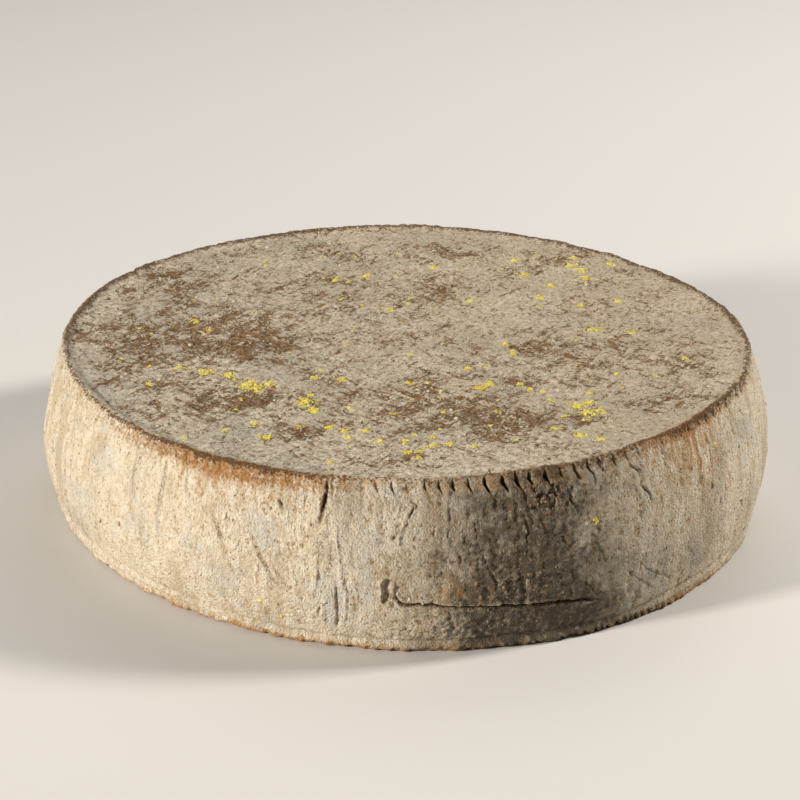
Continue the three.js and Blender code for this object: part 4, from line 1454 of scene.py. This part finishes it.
        # Cuts, pleats, pits and notches turn tan, then near black deep inside: painted shade, partly the
        # rind's own brown.
        cut = n.math("ADD", n.mask("crease"), n.ease(n.noise(1.2, 3.0, 0.6), 0.3, 0.7, -0.15, 0.15))
        color = n.mix(n.ease(cut, 0.15, 0.55, 0.0, 0.8), color, self.tan)
        color = n.mix(n.ease(cut, 0.5, 0.85, 0.0, 0.9), color, self.dark)
        grain = n.math("ADD", n.noise(0.9, 3.0, 0.7), n.math("MULTIPLY", n.noise(2.2, 3.0, 0.6), 0.5))
        n.shader(color, 0.9, 0.12, bump_height=grain, bump_mm=2.1)
        return material


# Width and height of a grain's rings, and the heights of its top and bottom, as shares of its size
GRAIN_RINGS = ((1.0, -0.6), (0.85, 0.4), (0.45, 0.85))
GRAIN_ENDS = (1.0, -0.6)


def scattered(name: str, beds: tuple[Array, Array, Array, Array], size: Array, tint: Array,
              rng: np.random.Generator, sides: int = 6) -> bpy.types.Object:
    """Makes many small closed domes of three uneven rings and joins them in one mesh.

    Args:
        name: the piece's name.
        beds: where each lies, and its directions across, along and out.
        size: rows of half-width, half-length and height in mm.
        tint: a number from 0 to 1 for each, for its colour.
        rng: the seeded draw.
        sides: corners to a ring.

    Returns:
        The piece.
    """
    place, across, along, out = (v[:, None, :] for v in beds)
    turn = np.arange(sides) * 2.0 * np.pi / sides + rng.uniform(0.0, 2.0 * np.pi, len(size))[:, None]
    edge = 1.0 + 0.25 * rng.uniform(-1.0, 1.0, (len(size), sides))
    rings = []
    for wide, high in GRAIN_RINGS:
        p = (wide * size[:, :1] * edge * np.cos(turn))[..., None]
        q = (wide * size[:, 1:2] * edge * np.sin(turn))[..., None]
        rings.append(place + p * across + q * along + (high * size[:, 2:3])[..., None] * out)
    ends = [place + (h * size[:, 2:3])[..., None] * out for h in GRAIN_ENDS]
    points = np.concatenate([*rings, *ends], axis=1)
    corner = np.arange(sides)
    count = len(rings)
    quads = [loop_quads(i * sides + corner, (i + 1) * sides + corner) for i in range(count - 1)]
    caps = [fan((count - 1) * sides + corner, count * sides), fan(corner[::-1], count * sides + 1)]
    step = (np.arange(len(size)) * points.shape[1])[:, None, None]
    faces = [(np.concatenate(f)[None] + step).reshape(-1, f[0].shape[1]) for f in (quads, caps)]
    piece = new_piece(name, points.reshape(-1, 3), faces, {"tint": np.repeat(tint, points.shape[1])})
    LOG.info("%s: %d grains", name, len(size))
    return piece


@dataclass
class YellowMould:
    """Colonies of bright yellow mould: flat ragged patches of small domed granules."""

    relief: RindRelief
    seed: int = 5
    # x, y and radius of each colony on the top
    on_top: tuple = (
        (-99, -30, 2.2), (-87, -35, 2.8), (-77, -39, 2.2), (-69, -49, 3.2), (-64, -52, 2.6),
        (-59, -48, 2.0), (-43, -68, 3.2), (-39, -77, 2.4), (-75, -98, 2.4), (-63, -91, 1.6),
        (-58, -105, 2.2), (-71, -63, 1.2), (-44, -94, 1.6), (-32, -96, 1.8), (-26, -100, 1.4),
        (-110, -49, 1.6), (-91, -106, 1.0), (31, -54, 2.4), (35, -50, 1.8), (70, -75, 3.0),
        (76, -72, 2.4), (74, -83, 2.4), (80, -81, 1.8), (70, -109, 2.4), (78, -113, 1.8), (74, -92, 1.6),
        (78, 101, 2.4), (82, 94, 2.6), (84, 84, 2.2), (80, 111, 1.8), (51, 107, 2.0), (55, 87, 2.0),
        (97, 101, 2.0), (67, 74, 2.2), (97, 53, 2.0), (79, 47, 1.8), (61, 57, 1.8), (43, -1, 1.8),
        (82, 14, 1.8), (86, 14, 1.6), (100, 11, 1.6), (121, -25, 1.4), (1, -46, 1.4), (29, 54, 2.0),
        (10, -116, 2.0), (-1, -109, 1.6), (5, -122, 1.4), (65, -86, 1.4), (62, -99, 1.4), (77, -61, 1.4),
        (-88, 12, 2.0), (-96, 22, 1.6), (-20, 84, 2.2), (-34, 78, 1.8), (-8, 40, 1.6), (12, 96, 1.8),
        (-41, -61, 1.4), (-24, -76, 1.2), (-17, -100, 1.5), (-24, -106, 1.2), (-11, -110, 1.2),
        (3, -104, 1.2), (10, -107, 1.3), (17, -115, 1.6), (27, -117, 1.2), (0, -122, 1.6),
        (-31, -129, 1.4), (4, -129, 1.3), (-6, -82, 1.2), (15, -79, 1.0), (38, -79, 1.3), (48, -50, 1.2),
        (52, -57, 1.3), (57, -60, 1.1), (60, -69, 1.3), (34, -93, 1.1), (60, -99, 1.3), (26, -31, 1.6),
        (46, -14, 1.3), (-40, -42, 1.4), (-28, -44, 1.6),
    )
    # Angle, height and radius of each colony on the side
    on_side: tuple = ((28, 51.8, 1.1), (-21.8, 19, 0.7), (54, 62, 0.8), (-18.5, 13, 0.6), (152, 40, 1.1))
    strays: int = 90
    stray_radius: tuple = (0.3, 0.9)
    stray_reach: float = 125.0
    top_reach: float = 132.0
    density: float = 18.0
    granule_radius: tuple = (0.28, 0.62)
    stretch: tuple = (1.25, 1.35)
    flatness: float = 0.65

    def granules(self, colonies: Array, rng: np.random.Generator) -> Array:
        """Draws the granules of colonies: dense in the middle, loose at the ragged edge.

        Args:
            colonies: rows of x, y and radius in mm.
            rng: the seeded draw.

        Returns:
            Rows of x, y and granule radius in mm.
        """
        rows = []
        for x, y, radius in colonies:
            count = int(self.density * radius ** 1.6) + 3
            turn = rng.uniform(0.0, 2.0 * np.pi, count)
            ragged = 1.0 + 0.4 * np.sin(3 * turn + x) + 0.3 * np.sin(5 * turn + y)
            away = radius * rng.uniform(0.0, 1.0, count) ** 0.55 * ragged
            size = rng.uniform(*self.granule_radius, count) * (1.15 - 0.3 * np.clip(away / radius, 0.0, 1.5))
            at_x = x + self.stretch[0] * away * np.cos(turn)
            at_y = y + self.stretch[1] * away * np.sin(turn)
            rows.append(np.column_stack([at_x, at_y, size]))
        return np.vstack(rows)

    def build(self) -> bpy.types.Object:
        """Lays out every granule on the top and the side and joins them.

        Returns:
            The piece.
        """
        rng = np.random.default_rng(self.seed)
        spot = rng.uniform(-self.stray_reach, self.stray_reach, (self.strays, 2))
        stray = np.column_stack([spot, rng.uniform(*self.stray_radius, self.strays)])
        stray = stray[np.hypot(stray[:, 0], stray[:, 1]) < self.top_reach]
        top = self.granules(np.vstack([self.on_top, stray]), rng)
        arc = np.radians(1.0) * self.relief.side_radius
        side = self.granules(np.array(self.on_side) * [arc, 1.0, 1.0], rng)
        beds = self.relief.both_beds((top[:, 0], top[:, 1]), (side[:, 0] / arc, side[:, 1]))
        radius = np.concatenate([top[:, 2], side[:, 2]])
        size = np.column_stack([radius, radius, self.flatness * radius])
        return scattered("yellow_mould", beds, size, rng.uniform(0.0, 1.0, len(size)), rng)


@dataclass
class RindCrumbs:
    """Dry flakes and crumbs of rind that lie on the top, on the rim and in the rough places."""

    relief: RindRelief
    seed: int = 11
    on_top: int = 2600
    on_side: int = 1100
    top_reach: float = 143.0
    side_heights: tuple = (9.0, 68.0)
    small_share: float = 0.93
    half_width: tuple = (0.18, 0.5)
    lengthened: tuple = (1.0, 2.2)
    flatness: float = 0.6
    # Angle, height, spread in degrees, spread in mm and number of crumbs
    rough_places: tuple = ((21.0, 66.0, 2.2, 4.5, 150), (7.0, 14.0, 6.0, 6.0, 70), (17.0, 31.0, 3.0, 5.0, 50))

    def build(self) -> bpy.types.Object:
        """Draws the crumbs' places and sizes, lays them out and joins them.

        Returns:
            The piece.
        """
        rng = np.random.default_rng(self.seed)
        r = self.top_reach * np.sqrt(rng.uniform(0.0, 1.0, self.on_top))
        a = rng.uniform(0.0, 2.0 * np.pi, self.on_top)
        angle = rng.uniform(-180.0, 180.0, self.on_side)
        height = rng.uniform(*self.side_heights, self.on_side)
        for at, up, wide, tall, count in self.rough_places:
            angle = np.concatenate([angle, rng.normal(at, wide, count)])
            height = np.concatenate([height, rng.normal(up, tall, count).clip(6.0, 70.0)])
        beds = self.relief.both_beds((r * np.sin(a), -r * np.cos(a)), (angle, height))
        dark_rind_and_painted_shade = self.relief.dark_rind_and_painted_shade(angle, height, self.relief.rind_points(angle, height))
        count = len(beds[0])
        # Side crumbs turn darker where the side is darker, in its painted shade round the front right too.
        tint = rng.uniform(0.0, 1.0, count) + np.concatenate([0.0 * r, 1.2 * dark_rind_and_painted_shade])
        width = rng.uniform(*self.half_width, count)
        width = width * (1.0 + (rng.uniform(0.0, 1.0, count) > self.small_share))
        long = width * rng.uniform(*self.lengthened, count)
        size = np.column_stack([width, long, self.flatness * width])
        return scattered("rind_crumbs", beds, size, tint, rng, 5)


@dataclass(frozen=True)
class GrainFinish:
    """Small grains that run between two colours."""

    name: str
    light: Color
    deep: Color

    def material(self) -> bpy.types.Material:
        """Builds the material.

        Returns:
            The new material.
        """
        material = bpy.data.materials.new(self.name)
        n = Nodes(material)
        blend = n.math("ADD", n.mask("tint"), n.ease(n.noise(3.0, 2.0), 0.3, 0.7, -0.5, 0.5))
        color = n.mix(n.ease(blend, 0.1, 0.9), self.light, self.deep)
        n.shader(color, 0.9, 0.2, bump_height=n.noise(0.4, 2.0), bump_mm=0.1, sheen=0.05)
        return material


YELLOW = GrainFinish("yellow_mould", (0.70, 0.63, 0.17), (0.56, 0.45, 0.05))
CRUMB = GrainFinish("rind_crumbs", (0.62, 0.54, 0.42), (0.24, 0.17, 0.10))


@dataclass(frozen=True)
class Lamp:
    """A soft square light that looks at the wheel's middle.

    The azimuth is in degrees from the front, positive to the right, and the elevation in degrees above
    the floor. Distance and size are in metres.
    """

    name: str
    azimuth: float
    elevation: float
    distance: float
    size: float
    watts: float
    color: Color


LAMPS = (
    Lamp("key_left", -58.0, 17.0, distance=2.4, size=0.32, watts=84.0, color=(1.0, 0.93, 0.84)),
    Lamp("key_right", 99.0, 33.0, distance=2.4, size=0.4, watts=60.0, color=(1.0, 0.94, 0.86)),
    Lamp("overhead", 170.0, 50.0, distance=1.6, size=0.9, watts=6.0, color=(1.0, 0.97, 0.93)),
)


@dataclass(frozen=True)
class Studio:
    """The plain pale floor, the soft lights and the camera, with lengths in mm."""

    lens_px: float = 2700.0
    image_px: float = 800.0
    distance: float = 1224.7
    elevation: float = 22.56
    roll: float = 0.47
    aside: float = 3.16
    up: float = -41.46
    floor_tone: Color = (0.62, 0.61, 0.59)
    floor_reach: float = 40000.0
    sky: Color = (0.92, 0.94, 1.0)
    sky_strength: float = 0.11

    def camera(self) -> None:
        """Places the camera that the photograph was taken from, worked out from the wheel's outline."""
        e, turn = math.radians(self.elevation), math.radians(self.roll)
        right = Vector((1.0, 0.0, 0.0))
        up = Vector((0.0, math.sin(e), math.cos(e)))
        ahead = Vector((0.0, math.cos(e), -math.sin(e)))
        place = (-self.aside * right - self.up * up - self.distance * ahead) * MM
        x_axis = math.cos(turn) * right + math.sin(turn) * up
        y_axis = math.cos(turn) * up - math.sin(turn) * right
        camera = bpy.data.cameras.new("camera")
        camera.sensor_width = 36.0
        camera.lens = camera.sensor_width * self.lens_px / self.image_px
        camera.clip_start, camera.clip_end = 0.05, 50.0
        holder = bpy.data.objects.new("camera", camera)
        axes = Matrix((x_axis, y_axis, -ahead)).transposed().to_4x4()
        holder.matrix_world = Matrix.Translation(place) @ axes
        bpy.context.scene.collection.objects.link(holder)
        bpy.context.scene.camera = holder

    def light(self, lamp: Lamp) -> None:
        """Adds a light, turned to face the wheel's middle."""
        a, e = math.radians(lamp.azimuth), math.radians(lamp.elevation)
        away = Vector((math.sin(a) * math.cos(e), -math.cos(a) * math.cos(e), math.sin(e)))
        data = bpy.data.lights.new(lamp.name, "AREA")
        data.size, data.energy, data.color = lamp.size, lamp.watts, lamp.color
        holder = bpy.data.objects.new(lamp.name, data)
        holder.rotation_euler = away.to_track_quat("Z", "Y").to_euler()
        holder.location = away * lamp.distance + Vector((0.0, 0.0, 0.04))
        bpy.context.scene.collection.objects.link(holder)

    def floor(self) -> None:
        """Lays the floor."""
        reach = self.floor_reach
        corners = np.array([(-reach, -reach, 0), (reach, -reach, 0), (reach, reach, 0), (-reach, reach, 0)])
        floor = new_piece("floor", corners, [np.array([[0, 1, 2, 3]])], {})
        material = bpy.data.materials.new("floor")
        Nodes(material).shader(self.floor_tone, 0.85, 0.2)
        floor.data.materials.append(material)

    def build(self) -> None:
        """Sets up the whole studio."""
        self.camera()
        self.floor()
        for lamp in LAMPS:
            self.light(lamp)
        world = bpy.data.worlds.new("studio")
        bpy.context.scene.world = world
        world.use_nodes = True
        background = world.node_tree.nodes["Background"]
        background.inputs["Color"].default_value = (*self.sky, 1.0)
        background.inputs["Strength"].default_value = self.sky_strength
        bpy.context.scene.view_settings.view_transform = "Standard"


def dress(piece: bpy.types.Object, material: bpy.types.Material) -> None:
    """Gives a piece its material and tells the frame what it stands for."""
    piece.data.materials.append(material)
    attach(piece, BODY)


def main() -> None:
    """Builds the studio and then every piece of the wheel."""
    logging.basicConfig(level=logging.INFO, format="%(message)s")
    Studio().build()
    relief = RindRelief()
    rind = RindFinish().material()
    side, seam, seam_normals = SideRind(relief).build()
    for piece in side + TopRind(relief).build(seam, seam_normals):
        dress(piece, rind)
        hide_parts(NODE)
    dress(RindCrumbs(relief).build(), CRUMB.material())
    dress(YellowMould(relief).build(), YELLOW.material())


if __name__ == "__main__":
    main()
